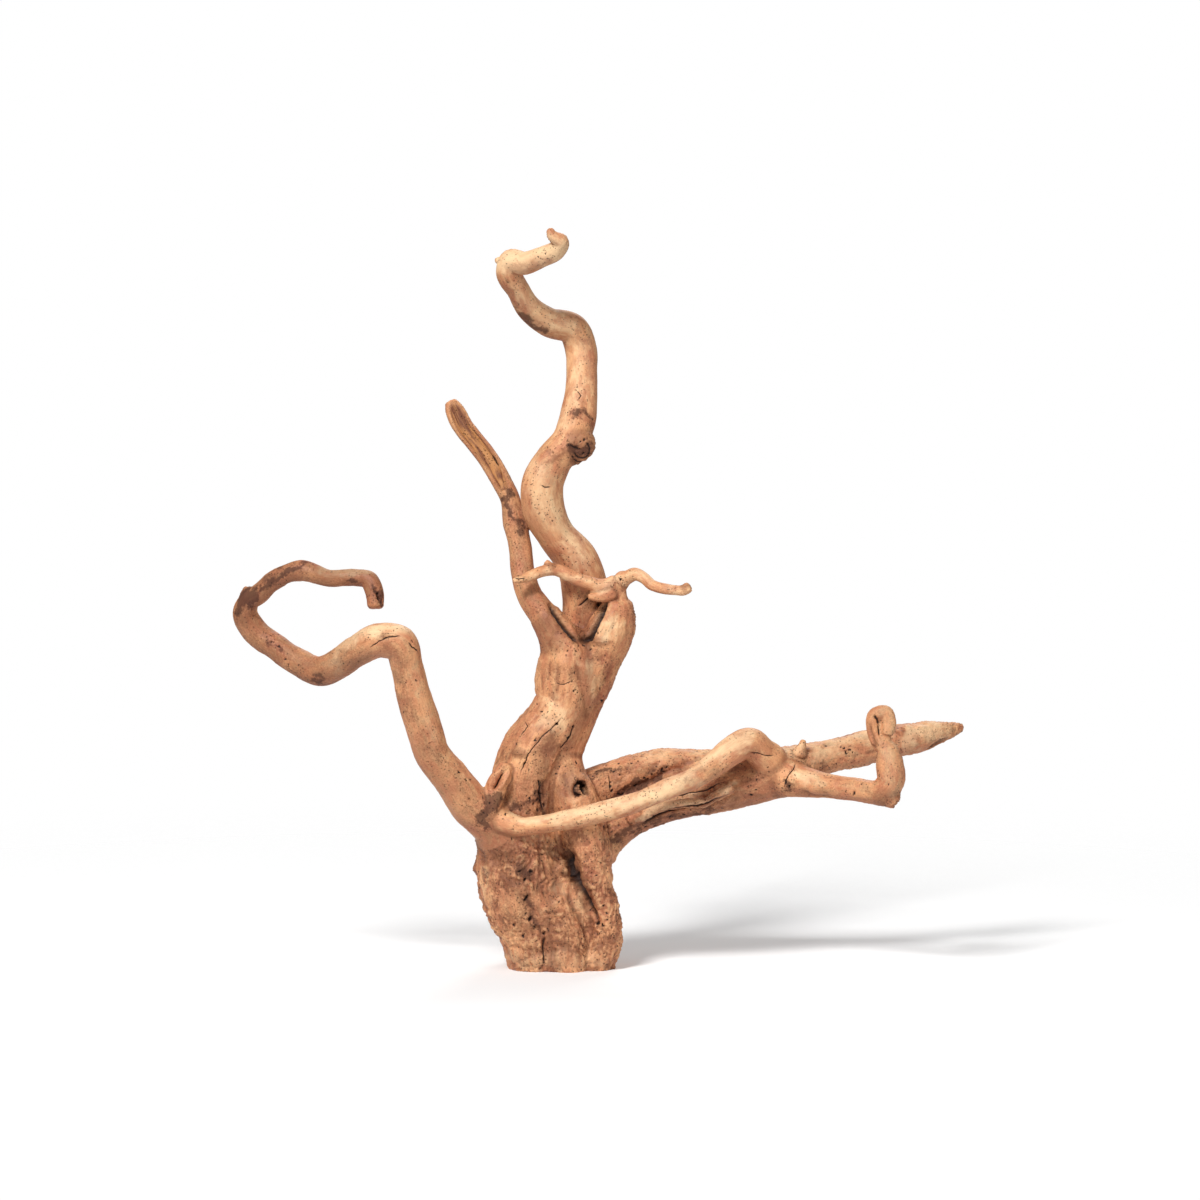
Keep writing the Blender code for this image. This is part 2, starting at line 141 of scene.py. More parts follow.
def soft_light(name, place, size, power):
    """A square lamp that faces the middle of the wood."""
    lamp = bpy.data.lights.new(name, "AREA")
    lamp.size = size
    lamp.energy = power
    stand = bpy.data.objects.new(name, lamp)
    bpy.context.scene.collection.objects.link(stand)
    stand.location = place
    towards = Vector(CAMERA_AIM) - Vector(place)
    stand.rotation_euler = towards.to_track_quat("-Z", "Y").to_euler()
    stand.visible_camera = False
    return stand


def even_air(strength):
    """Weak white light from every side."""
    world = bpy.data.worlds.new("studio_air")
    world.use_nodes = True
    background = world.node_tree.nodes["Background"]
    background.inputs["Color"].default_value = WHITE
    background.inputs["Strength"].default_value = strength
    return world


soft_light("key_light", place=(-1.0, -2.0, 2.1), size=0.7, power=88.0)
soft_light("fill_light", place=(2.0, -2.0, 0.9), size=1.4, power=13.0)
soft_light("rim_light", place=(0.6, 2.2, 1.9), size=1.4, power=30.0)
bpy.context.scene.world = even_air(AIR_LIGHT)
bpy.context.scene.view_settings.view_transform = "Standard"
print("three lamps, and air of strength", AIR_LIGHT)

# %% Put the dome round the studio
DOME_RADIUS = 7.0
DOME_SIDES, DOME_RINGS = 48, 24


def white_dome():
    """A white ball round the whole studio, there only to be seen: the wood takes no light from it."""
    shape = bmesh.new()
    bmesh.ops.create_uvsphere(shape, u_segments=DOME_SIDES, v_segments=DOME_RINGS, radius=DOME_RADIUS)
    mesh = bpy.data.meshes.new("studio_dome")
    shape.to_mesh(mesh)
    shape.free()
    dome = bpy.data.objects.new("studio_dome", mesh)
    bpy.context.scene.collection.objects.link(dome)
    for kind_of_ray in ("diffuse", "glossy", "transmission", "volume_scatter", "shadow"):
        setattr(dome, "visible_" + kind_of_ray, False)
    white = bpy.data.materials.new("white_dome")
    white.use_nodes = True
    shader = white.node_tree.nodes["Principled BSDF"]
    shader.inputs["Base Color"].default_value = BLACK
    shader.inputs["Specular IOR Level"].default_value = 0.0
    shader.inputs["Emission Color"].default_value = WHITE
    shader.inputs["Emission Strength"].default_value = 1.0
    mesh.materials.append(white)
    return dome


white_dome()
print("dome", DOME_RADIUS, "m in radius")

# %% [markdown]
# ## The run of every limb
# A limb is a bent, uneven rod. Its centre line needs only a point at each bend or change of thickness,
# and every point gives x, y, z and the radius of the wood there, in metres. They are the points that the
# solid was built on, a few of them moved by one to four millimetres, so the skin stays where the solid is.

# %% Give the points of the stump and trunk
HEEL = [
    (0.001, 0.006, -0.01, 0.0235), (0.001, 0.006, 0.003, 0.0245), (0.003, 0.007, 0.014, 0.0265),
    (0.002, 0.007, 0.028, 0.027), (-0.002, 0.007, 0.045, 0.026), (-0.004, 0.006, 0.06, 0.023),
]
LEFT_LOBE = [
    (-0.0085, -0.005, -0.008, 0.018), (-0.009, -0.005, 0.001, 0.0185), (-0.011, -0.006, 0.011, 0.019),
    (-0.015, -0.006, 0.026, 0.02), (-0.0195, -0.006, 0.04, 0.0228), (-0.0215, -0.005, 0.054, 0.0233),
    (-0.0215, -0.004, 0.07, 0.021), (-0.0195, -0.004, 0.09, 0.0195), (-0.0165, -0.005, 0.1075, 0.0188),
    (-0.012, -0.005, 0.1195, 0.0176), (-0.0025, -0.004, 0.1335, 0.0155), (0.004, -0.003, 0.145, 0.0159),
    (0.005, -0.003, 0.158, 0.0168), (0.005, -0.004, 0.17, 0.0136), (0.0005, -0.005, 0.182, 0.0095),
    (-0.007, -0.005, 0.192, 0.0078),
]
RIGHT_LOBE = [
    (0.0, 0.0, 0.11, 0.011), (0.0015, -0.002, 0.118, 0.0116), (0.0062, -0.003, 0.132, 0.0122),
    (0.01, -0.003, 0.143, 0.013), (0.0152, -0.002, 0.156, 0.0137), (0.0213, -0.002, 0.169, 0.0129),
    (0.0283, -0.003, 0.1835, 0.0124), (0.0312, -0.004, 0.1915, 0.0095), (0.0322, -0.005, 0.199, 0.0055),
    (0.0318, -0.006, 0.2055, 0.0055), (0.0322, -0.007, 0.2105, 0.0062),
]
RIGHT_COLUMN = [
    (0.0, -0.003, 0.118, 0.0105), (0.004, -0.006, 0.104, 0.0115), (0.0095, -0.009, 0.088, 0.013),
    (0.014, -0.011, 0.072, 0.0127), (0.0168, -0.012, 0.058, 0.0114), (0.0195, -0.012, 0.044, 0.0101),
    (0.024, -0.01, 0.033, 0.0098), (0.0262, -0.01, 0.022, 0.009), (0.0245, -0.009, 0.012, 0.0105),
    (0.0185, -0.008, 0.0, 0.011), (0.0175, -0.008, -0.008, 0.011),
]
FRONT_LOBE = [
    (0.004, -0.013, -0.008, 0.011), (0.004, -0.014, 0.004, 0.0115), (0.004, -0.015, 0.016, 0.011),
    (0.001, -0.016, 0.028, 0.0095), (-0.003, -0.015, 0.04, 0.008),
]
BACK_LEFT_RIB = [
    (-0.014, 0.017, 0.004, 0.012), (-0.019, 0.017, 0.028, 0.0135), (-0.016, 0.019, 0.058, 0.012),
    (-0.009, 0.019, 0.09, 0.0105), (-0.002, 0.018, 0.118, 0.009), (0.006, 0.021, 0.145, 0.0085),
    (0.012, 0.022, 0.168, 0.007),
]
BACK_RIGHT_RIB = [
    (0.017, 0.015, 0.004, 0.012), (0.0175, 0.018, 0.028, 0.0115), (0.011, 0.022, 0.052, 0.0105),
    (0.003, 0.021, 0.078, 0.01), (0.006, 0.014, 0.098, 0.008),
]
BACK_ROOT = [
    (0.002, 0.022, 0.048, 0.009), (-0.001, 0.035, 0.058, 0.007), (-0.003, 0.043, 0.068, 0.0056),
]
BURLS = [
    (-0.024, -0.021, 0.06, 0.0085), (-0.017, -0.0225, 0.043, 0.008), (-0.013, -0.021, 0.026, 0.0085),
    (-0.003, -0.02, 0.033, 0.0075), (0.001, -0.0195, 0.017, 0.0085), (0.004, -0.018, 0.054, 0.004),
    (-0.033, -0.012, 0.048, 0.009), (-0.0225, -0.008, 0.018, 0.0085), (-0.029, 0.01, 0.05, 0.011),
    (0.006, 0.027, 0.028, 0.009), (-0.006, 0.026, 0.016, 0.0085), (-0.02, -0.019, 0.118, 0.006),
    (0.023, -0.013, 0.178, 0.006), (0.056, 0.022, 0.1, 0.006), (0.118, 0.008, 0.1, 0.009),
]
print(len(BURLS), "burls on the trunk and stump")

# %% Give the points of the limbs
CROOKED_LIMB = [
    (-0.002, 0.008, 0.04, 0.023), (-0.004, 0.008, 0.085, 0.017), (-0.002, 0.01, 0.115, 0.013),
    (0.0075, 0.012, 0.145, 0.0145), (0.014, 0.014, 0.172, 0.0145), (0.015, 0.012, 0.2, 0.013),
    (0.0098, 0.008, 0.22, 0.0117), (-0.0012, 0.003, 0.2345, 0.0102), (-0.008, -0.002, 0.25, 0.0113),
    (-0.0083, -0.004, 0.2625, 0.0112), (-0.003, -0.004, 0.274, 0.0102), (0.006, -0.001, 0.2855, 0.0096),
    (0.01, 0.004, 0.295, 0.0103), (0.012, 0.01, 0.308, 0.0092), (0.0128, 0.016, 0.3218, 0.0084),
    (0.0122, 0.019, 0.3343, 0.0084), (0.0082, 0.017, 0.3446, 0.0081), (-0.005, 0.01, 0.3489, 0.0074),
    (-0.0152, 0.002, 0.3563, 0.0066), (-0.0212, -0.006, 0.3663, 0.0062),
    (-0.0262, -0.012, 0.3768, 0.0073), (-0.0252, -0.014, 0.3812, 0.0072),
    (-0.0175, -0.02, 0.3812, 0.0066), (-0.009, -0.027, 0.3843, 0.006), (-0.0008, -0.033, 0.3882, 0.0055),
    (0.0018, -0.037, 0.3923, 0.0046), (-0.0028, -0.04, 0.3962, 0.003), (-0.004, -0.041, 0.3992, 0.002),
]
SPUR = [
    (0.004, -0.006, 0.17, 0.0095), (-0.0068, -0.005, 0.19, 0.0079), (-0.0155, -0.002, 0.203, 0.007),
    (-0.019, 0.001, 0.215, 0.0065), (-0.0205, 0.004, 0.228, 0.0063), (-0.0235, 0.006, 0.24, 0.0063),
    (-0.0255, 0.008, 0.253, 0.0056), (-0.0302, 0.01, 0.2627, 0.0057), (-0.0368, 0.012, 0.2738, 0.0056),
    (-0.0439, 0.014, 0.2832, 0.0056), (-0.0515, 0.016, 0.2926, 0.0055), (-0.0557, 0.018, 0.3007, 0.0048),
    (-0.0582, 0.02, 0.3057, 0.0024),
]
HOOK_LIMB = [
    (-0.022, -0.008, 0.062, 0.015), (-0.034, -0.014, 0.0777, 0.0123), (-0.0473, -0.023, 0.0912, 0.0112),
    (-0.0559, -0.031, 0.1042, 0.0101), (-0.0676, -0.041, 0.1213, 0.0093),
    (-0.0708, -0.046, 0.1331, 0.0095), (-0.075, -0.05, 0.1462, 0.0095), (-0.08, -0.056, 0.1683, 0.0086),
    (-0.0839, -0.06, 0.1808, 0.0094), (-0.0934, -0.059, 0.1822, 0.0093), (-0.1064, -0.052, 0.176, 0.0083),
    (-0.1165, -0.045, 0.1683, 0.008), (-0.1255, -0.039, 0.1637, 0.0078),
    (-0.1379, -0.031, 0.1677, 0.0073), (-0.1509, -0.025, 0.1759, 0.007), (-0.1632, -0.022, 0.1855, 0.007),
    (-0.1671, -0.024, 0.1932, 0.0068), (-0.1643, -0.029, 0.201, 0.0056),
    (-0.1583, -0.034, 0.2055, 0.0055), (-0.1518, -0.039, 0.2115, 0.0051),
    (-0.136, -0.045, 0.2179, 0.0054), (-0.1213, -0.047, 0.2143, 0.0045),
    (-0.1062, -0.047, 0.2145, 0.0046), (-0.1002, -0.049, 0.2136, 0.0048),
    (-0.0968, -0.052, 0.2065, 0.0049), (-0.0963, -0.054, 0.1985, 0.0044),
]
FRONT_LIMB = [
    (-0.032, -0.016, 0.088, 0.006), (-0.031, -0.024, 0.083, 0.0055), (-0.02, -0.028, 0.0795, 0.005),
    (-0.009, -0.0285, 0.0805, 0.0049), (0.0022, -0.028, 0.0825, 0.0051), (0.013, -0.0275, 0.0845, 0.0054),
    (0.024, -0.029, 0.0875, 0.0056), (0.035, -0.03, 0.0905, 0.0058), (0.0455, -0.03, 0.094, 0.0054),
    (0.058, -0.029, 0.0995, 0.0057), (0.0715, -0.0265, 0.1045, 0.006), (0.0835, -0.0225, 0.112, 0.0069),
    (0.094, -0.0185, 0.1195, 0.0078), (0.103, -0.0135, 0.1232, 0.008), (0.1105, -0.007, 0.1165, 0.0086),
    (0.119, 0.0, 0.1085, 0.0105),
]
THICK_UPPER_LOBE = [
    (0.002, 0.006, 0.084, 0.015), (0.0195, 0.01, 0.0945, 0.0128), (0.0365, 0.013, 0.1005, 0.0123),
    (0.057, 0.014, 0.106, 0.0112), (0.0765, 0.012, 0.106, 0.0112), (0.0985, 0.008, 0.106, 0.0113),
    (0.1215, 0.005, 0.1075, 0.012), (0.1432, 0.012, 0.1122, 0.0089), (0.1651, 0.022, 0.1163, 0.0093),
    (0.182, 0.031, 0.1194, 0.0089), (0.1954, 0.038, 0.1208, 0.0086), (0.2095, 0.046, 0.1236, 0.006),
    (0.222, 0.053, 0.1255, 0.0024),
]
THICK_LOWER_LOBE = [
    (0.016, 0.002, 0.056, 0.012), (0.027, 0.002, 0.07, 0.0105), (0.0375, 0.001, 0.0795, 0.0098),
    (0.05, 0.0, 0.0865, 0.0102), (0.066, 0.0, 0.091, 0.0103), (0.085, 0.0, 0.095, 0.0108),
    (0.104, 0.0, 0.099, 0.0108), (0.1215, 0.001, 0.104, 0.0112),
]
LOWER_RIGHT_LIMB = [
    (0.119, -0.001, 0.104, 0.011), (0.1334, -0.009, 0.1013, 0.0082), (0.1491, -0.02, 0.1, 0.0063),
    (0.1623, -0.028, 0.099, 0.0063), (0.1735, -0.034, 0.0995, 0.0068), (0.178, -0.036, 0.1045, 0.0074),
    (0.1777, -0.036, 0.113, 0.0077), (0.1765, -0.034, 0.1208, 0.006), (0.1716, -0.032, 0.1257, 0.0046),
    (0.1692, -0.031, 0.1326, 0.004), (0.1703, -0.031, 0.1394, 0.0044), (0.1756, -0.032, 0.141, 0.0038),
    (0.1776, -0.033, 0.1356, 0.0034), (0.1761, -0.034, 0.1291, 0.003),
]
print("the hook limb has", len(HOOK_LIMB), "points, the crooked limb", len(CROOKED_LIMB))

# %% Give the points of the twigs, stubs and thorns
TWIG_LEFT = [
    (0.032, -0.007, 0.209, 0.0048), (0.0243, -0.008, 0.2073, 0.0043), (0.015, -0.009, 0.2095, 0.004),
    (0.0065, -0.009, 0.2128, 0.0037), (-0.0005, -0.009, 0.2158, 0.0032), (-0.007, -0.011, 0.2157, 0.003),
    (-0.014, -0.014, 0.2135, 0.0027), (-0.02, -0.017, 0.2115, 0.0022), (-0.0238, -0.019, 0.2112, 0.0014),
]
TWIG_RIGHT = [
    (0.0335, -0.007, 0.2105, 0.005), (0.037, -0.01, 0.2122, 0.004), (0.0415, -0.013, 0.2142, 0.0037),
    (0.046, -0.016, 0.2125, 0.0032), (0.0508, -0.02, 0.2087, 0.003), (0.0562, -0.023, 0.207, 0.0028),
    (0.0626, -0.026, 0.2064, 0.0026), (0.068, -0.028, 0.2065, 0.0025), (0.0712, -0.03, 0.2074, 0.0016),
]
TWIG_PRONG = [(0.068, -0.028, 0.2069, 0.002), (0.0696, -0.0285, 0.2103, 0.0013)]
TWIG_STUB = [
    (0.03, -0.008, 0.205, 0.0048), (0.0245, -0.01, 0.2022, 0.0036),
    (0.0165, -0.012, 0.2018, 0.0016),
]
TWIG_BUD = [(-0.003, -0.0095, 0.2165, 0.0026), (-0.0066, -0.0095, 0.2212, 0.0014)]
CLINGING_TWIG = [
    (0.0385, -0.0075, 0.0805, 0.0035), (0.0555, -0.0125, 0.088, 0.0027),
    (0.0685, -0.0142, 0.0905, 0.0027), (0.08, -0.0145, 0.0913, 0.0026), (0.0875, -0.015, 0.0955, 0.0025),
    (0.0945, -0.015, 0.0985, 0.0024),
]
FRONT_STUB = [
    (-0.0385, -0.025, 0.0835, 0.005), (-0.0355, -0.0255, 0.093, 0.0056),
    (-0.0315, -0.0235, 0.104, 0.0055), (-0.027, -0.019, 0.111, 0.0045),
]
CORNER_TOE = [(0.1735, -0.034, 0.0995, 0.0068), (0.1808, -0.036, 0.0927, 0.0038)]
TOP_STUB = [(-0.029, -0.006, 0.381, 0.0032), (-0.0332, -0.006, 0.383, 0.0014)]
KNOT_BURL = [
    (0.009, -0.003, 0.2805, 0.007), (0.012, -0.0045, 0.2812, 0.0078),
    (0.0135, -0.002, 0.288, 0.006),
]
SHOULDER_THORN = [(0.13, -0.002, 0.115, 0.004), (0.1328, -0.003, 0.1238, 0.0012)]
STUMP_THORN = [(-0.042, -0.004, 0.054, 0.0036), (-0.0462, -0.004, 0.0545, 0.0012)]
STUMP_BURL = [(-0.038, -0.006, 0.043, 0.006), (-0.041, -0.006, 0.0425, 0.004)]
BARK_SPUR = [(-0.1658, -0.029, 0.2025, 0.0042), (-0.1658, -0.029, 0.2087, 0.0017)]

# What rot and splitting took away: the path of each hollow's middle, and its radius
SPLIT_FACE = [
    (-0.029, 0.002, 0.259, 0.003), (-0.0362, 0.0035, 0.2735, 0.0058), (-0.043, 0.0055, 0.283, 0.0062),
    (-0.0505, 0.0075, 0.2925, 0.006), (-0.0555, 0.01, 0.303, 0.0056), (-0.059, 0.011, 0.309, 0.005),
]
SPUR_TIP_BREAK = [(-0.0478, 0.005, 0.31, 0.0052), (-0.047, 0.035, 0.31, 0.0052)]
COLUMN_HOLE = [
    (0.015, -0.016, 0.102, 0.0022), (0.0145, -0.0155, 0.0985, 0.0032),
    (0.014, -0.015, 0.0945, 0.0024),
]
SPIKE_SPLIT = [
    (0.203, 0.036, 0.1155, 0.0016), (0.2085, 0.04, 0.1178, 0.0022),
    (0.214, 0.043, 0.1198, 0.0012),
]
print("the two twigs have", len(TWIG_LEFT), "and", len(TWIG_RIGHT), "points")

# %% [markdown]
# ## A smooth centre line
# Between two points the centre line is a cubic curve, and its slope at a point comes from the points on
# both sides, so it bends like grown wood and not like a broken stick. The radius is smoothed in the same
# way. A front direction and a side direction are carried along, square to the line, so that a place in
# the wood can be told by how far along the limb it is and where round the middle: that is how grain runs.

# %% Draw smooth centre lines
STEP = 0.001                   # metres between two samples of a centre line
TOWARDS_FRONT = np.array((0.0, -1.0, 0.0))


def unit(vectors):
    """Each vector divided by its own length."""
    return vectors / np.linalg.norm(vectors, axis=-1, keepdims=True)


def dot(a, b):
    """The products of two vectors' parts, added up."""
    return np.einsum("...i,...i->...", a, b)


def smooth_line(points):
    """Samples a cubic between each two points.

    Its slope at a point is that of the parabola through the point and its two neighbours.
    """
    points = np.array(points)
    gaps = np.linalg.norm(np.diff(points[:, :3], axis=0), axis=1)
    at = np.concatenate([[0.0], np.cumsum(gaps)])
    slopes = np.gradient(points, at, axis=0)
    wanted = np.linspace(0.0, at[-1], int(at[-1] / STEP) + 2)
    leg = np.clip(np.searchsorted(at, wanted, side="right") - 1, 0, len(gaps) - 1)
    span = gaps[leg][:, None]
    t = (wanted - at[leg])[:, None] / span
    line = (2 * t**3 - 3 * t**2 + 1) * points[leg] + (3 * t**2 - 2 * t**3) * points[leg + 1]
    return line + span * ((t**3 - 2 * t**2 + t) * slopes[leg] + (t**3 - t**2) * slopes[leg + 1])


print("the crooked limb's line has", len(smooth_line(CROOKED_LIMB)), "samples")

# %% Make the limbs
BLUNT, ROUND = 0.45, 1.0       # how much of the radius the edge of a limb's end is rounded by
TRUNK, CROOKED, SPLIT_SPUR, HOOK, FRONT, RIGHT, LOWER_RIGHT, TWIGS = range(8)
WIDE_FILLET, FILLET, SLIGHT_FILLET, HOLLOW_EDGE = 0.007, 0.004, 0.002, 0.0012


def limb(name, points, part, fillet, roundness=BLUNT):
    """A limb's centre line, and at every sample its radius, the length so far and its three directions."""
    line = smooth_line(points)
    centre = line[:, :3]
    along = np.concatenate([[0.0], np.cumsum(np.linalg.norm(np.diff(centre, axis=0), axis=1))])
    ahead = unit(np.gradient(centre, along, axis=0))
    front = unit(TOWARDS_FRONT - dot(ahead, TOWARDS_FRONT)[:, None] * ahead)
    return {
        "name": name, "part": part, "fillet": fillet, "roundness": roundness,
        "centre": centre, "radius": line[:, 3], "along": along,
        "ahead": ahead, "front": front, "side": np.cross(ahead, front),
    }


def ball(name, x, y, z, radius, part, fillet):
    """A burl: a limb so short that it is a ball."""
    return limb(name, [(x, y, z - radius / 8, radius), (x, y, z + radius / 8, radius)], part, fillet, ROUND)


WOOD = [
    limb("heel", HEEL, TRUNK, FILLET),
    limb("front_lobe", FRONT_LOBE, TRUNK, SLIGHT_FILLET),
    limb("back_left_rib", BACK_LEFT_RIB, TRUNK, WIDE_FILLET, ROUND),
    limb("back_right_rib", BACK_RIGHT_RIB, TRUNK, WIDE_FILLET, ROUND),
    limb("back_root", BACK_ROOT, TRUNK, WIDE_FILLET, ROUND),
    limb("left_lobe", LEFT_LOBE, TRUNK, FILLET),
    limb("right_lobe", RIGHT_LOBE, TRUNK, FILLET),
    limb("right_column", RIGHT_COLUMN, TRUNK, SLIGHT_FILLET),
    limb("crooked_limb", CROOKED_LIMB, CROOKED, SLIGHT_FILLET),
    limb("spur", SPUR, SPLIT_SPUR, FILLET),
    limb("hook_limb", HOOK_LIMB, HOOK, WIDE_FILLET),
    limb("thick_upper_lobe", THICK_UPPER_LOBE, RIGHT, FILLET),
    limb("thick_lower_lobe", THICK_LOWER_LOBE, RIGHT, FILLET),
    limb("lower_right_limb", LOWER_RIGHT_LIMB, LOWER_RIGHT, FILLET),
    limb("front_limb", FRONT_LIMB, FRONT, FILLET, ROUND),
    limb("twig_left", TWIG_LEFT, TWIGS, SLIGHT_FILLET),
    limb("twig_right", TWIG_RIGHT, TWIGS, SLIGHT_FILLET),
    limb("twig_prong", TWIG_PRONG, TWIGS, SLIGHT_FILLET),
    limb("twig_stub", TWIG_STUB, TWIGS, SLIGHT_FILLET),
    limb("twig_bud", TWIG_BUD, TWIGS, SLIGHT_FILLET),
    limb("clinging_twig", CLINGING_TWIG, RIGHT, SLIGHT_FILLET),
    limb("front_stub", FRONT_STUB, HOOK, SLIGHT_FILLET),
    limb("corner_toe", CORNER_TOE, LOWER_RIGHT, FILLET),
    limb("top_stub", TOP_STUB, CROOKED, SLIGHT_FILLET),
    limb("knot_burl", KNOT_BURL, CROOKED, WIDE_FILLET, ROUND),
    limb("shoulder_thorn", SHOULDER_THORN, RIGHT, SLIGHT_FILLET),
    limb("stump_thorn", STUMP_THORN, TRUNK, FILLET),
    limb("stump_burl", STUMP_BURL, TRUNK, FILLET, ROUND),
    limb("bark_spur", BARK_SPUR, HOOK, SLIGHT_FILLET),
] + [ball(f"burl_{number}", *burl, TRUNK, FILLET) for number, burl in enumerate(BURLS)]
HOLLOWS = [
    limb("split_face", SPLIT_FACE, SPLIT_SPUR, HOLLOW_EDGE),
    limb("spur_tip_break", SPUR_TIP_BREAK, SPLIT_SPUR, HOLLOW_EDGE),
    limb("column_hole", COLUMN_HOLE, TRUNK, SLIGHT_FILLET),
    limb("spike_split", SPIKE_SPLIT, RIGHT, HOLLOW_EDGE),
]
for number, rod in enumerate(WOOD + HOLLOWS):
    rod["number"] = number
    rod["hollow"] = number >= len(WOOD)
longest = max(WOOD, key=lambda rod: rod["along"][-1])
print(len(WOOD), "limbs and burls, the longest is the", longest["name"])

# %% [markdown]
# ## One skin over all the limbs
# The limbs run into one another, and the real wood has one unbroken skin over all of them. Each limb
# first gets a plain tube: a circle carried along its centre line. A voxel remesh then keeps only the
# outside of all the tubes together, the hollows are cut out, and a second remesh leaves an even skin of
# small squares to work on.

# %% Sweep the tubes
TUBE_SIDES = 32
RING_STRIDE = 2                # every second sample is enough for a tube


def tube(rod):
    """A circle of the limb's radius at every second sample, square to its line, and a point at each end."""
    keep = np.unique(np.append(np.arange(0, len(rod["centre"]), RING_STRIDE), len(rod["centre"]) - 1))
    angle = np.linspace(0.0, 2.0 * math.pi, TUBE_SIDES, endpoint=False)[None, :, None]
    spoke = np.cos(angle) * rod["front"][keep][:, None] + np.sin(angle) * rod["side"][keep][:, None]
    rings = rod["centre"][keep][:, None] + rod["radius"][keep][:, None, None] * spoke
    count = len(keep)
    at = np.arange(count * TUBE_SIDES).reshape(count, TUBE_SIDES)
    turned = np.roll(at, -1, 1)
    quads = np.stack([at[:-1], turned[:-1], turned[1:], at[1:]], axis=-1).reshape(-1, 4)
    first, last = count * TUBE_SIDES, count * TUBE_SIDES + 1
    start_cap = np.stack([np.full(TUBE_SIDES, first), turned[0], at[0]], axis=-1)
    end_cap = np.stack([np.full(TUBE_SIDES, last), at[-1], turned[-1]], axis=-1)
    points = np.concatenate([rings.reshape(-1, 3), rod["centre"][[0]], rod["centre"][[-1]]])
    return points, quads.tolist() + start_cap.tolist() + end_cap.tolist()


def tubes_object(name, rods):
    """The tubes of all the rods in one mesh, each one's faces numbered on from the last one's points."""
    points, faces, used = [], [], 0
    for rod in rods:
        its_points, its_faces = tube(rod)
        points.append(its_points)
        faces += [[used + corner for corner in face] for face in its_faces]
        used += len(its_points)
    mesh = bpy.data.meshes.new(name)
    mesh.from_pydata(np.concatenate(points).tolist(), [], faces)
    body = bpy.data.objects.new(name, mesh)
    bpy.context.scene.collection.objects.link(body)
    return body


print("the heel's tube has", len(tube(WOOD[0])[0]), "points")

# %% Fuse the tubes
COARSE_SKIN = 0.0012
FINE_SKIN = 0.00066
SAW_REACH = FINE_SKIN / 5      # points this near the cut count as on it


def fused_skin():
    """The outside of all the tubes, with the hollows cut out of it, as one mesh of small squares."""
    body = tubes_object("raw_wood", WOOD)
    cutter = tubes_object("raw_hollows", HOLLOWS)
    first = body.modifiers.new("Fused tubes", "REMESH")
    first.voxel_size = COARSE_SKIN
    cut = body.modifiers.new("Rot and splits", "BOOLEAN")
    cut.object = cutter
    second = body.modifiers.new("Fine skin", "REMESH")
    second.voxel_size = FINE_SKIN
    graph = bpy.context.evaluated_depsgraph_get()
    skin = bpy.data.meshes.new_from_object(body.evaluated_get(graph))
    bpy.data.objects.remove(body, do_unlink=True)
    bpy.data.objects.remove(cutter, do_unlink=True)
    return skin


def saw_flat(mesh):
    """Cuts the mesh off at the floor and closes the cut."""
    shape = bmesh.new()
    shape.from_mesh(mesh)
    everything = shape.verts[:] + shape.edges[:] + shape.faces[:]
    bmesh.ops.bisect_plane(
        shape, geom=everything, plane_co=(0, 0, 0), plane_no=(0, 0, -1), clear_outer=True, dist=SAW_REACH
    )
    rim = [edge for edge in shape.edges if edge.is_boundary]
    bmesh.ops.holes_fill(shape, edges=rim)
    shape.to_mesh(mesh)
    shape.free()


skin_mesh = fused_skin()
saw_flat(skin_mesh)
print("skin has", len(skin_mesh.vertices), "points and", len(skin_mesh.polygons), "faces")

# %% [markdown]
# ## Settle the skin on the wood
# A point's distance to a limb is its distance to the centre line less the radius. Where two limbs meet,
# the two distances are mixed, which rounds the corner between them into a fillet, as growing wood does.
# Each point of the skin is moved along the slope of that distance until it is nought, so no facet of a
# tube and no step of the voxel grid is left.

# %% Measure the distance to the wood
REACH = 0.014                  # limbs further off than this leave a point alone
CHUNK = 20000                  # points measured at a time, to save memory
TINY, SMALL = 1e-9, 1e-6       # keep a division off nought


def nearest_sample(points, centre, radius):
    """For each point, the sample whose ball is nearest.

    It is the one with the least |sample|^2 - radius^2 - 2 point . sample.
    """
    square = dot(centre, centre) - radius**2
    pieces = [
        np.argmin(square - 2.0 * points[start:start + CHUNK] @ centre.T, axis=1)
        for start in range(0, len(points), CHUNK)
    ]
    return np.concatenate(pieces) if pieces else np.zeros(0, int)


def measure(points, rod):
    """Distance to one limb, its slope, and the place in the limb: towards front, towards side, along."""
    pick = nearest_sample(points, rod["centre"], rod["radius"])
    ahead = rod["ahead"][pick]
    away = points - rod["centre"][pick]
    forward = dot(away, ahead)
    at_end = (pick == 0) | (pick == len(rod["centre"]) - 1)
    along = rod["along"][pick] + np.where(at_end, forward, np.clip(forward, -STEP / 2, STEP / 2))
    across = away - forward[:, None] * ahead
    width = np.linalg.norm(across, axis=1) + TINY
    radius = np.interp(along, rod["along"], rod["radius"])
    length = rod["along"][-1]
    edge = rod["roundness"] * radius
    out_side = width - radius + edge
    out_end = np.maximum(along - length, -along) + edge
    corner = np.hypot(np.maximum(out_side, 0.0), np.maximum(out_end, 0.0))
    distance = np.minimum(np.maximum(out_side, out_end), 0.0) + corner - edge
    outward = np.where(along > length / 2, 1.0, -1.0)[:, None] * ahead
    slope = across / width[:, None] * np.maximum(out_side, SMALL)[:, None]
    slope = unit(slope + outward * np.maximum(out_end, 0.0)[:, None])
    place = np.stack([dot(across, rod["front"][pick]), dot(across, rod["side"][pick]), along], axis=-1)
    return distance, slope, place


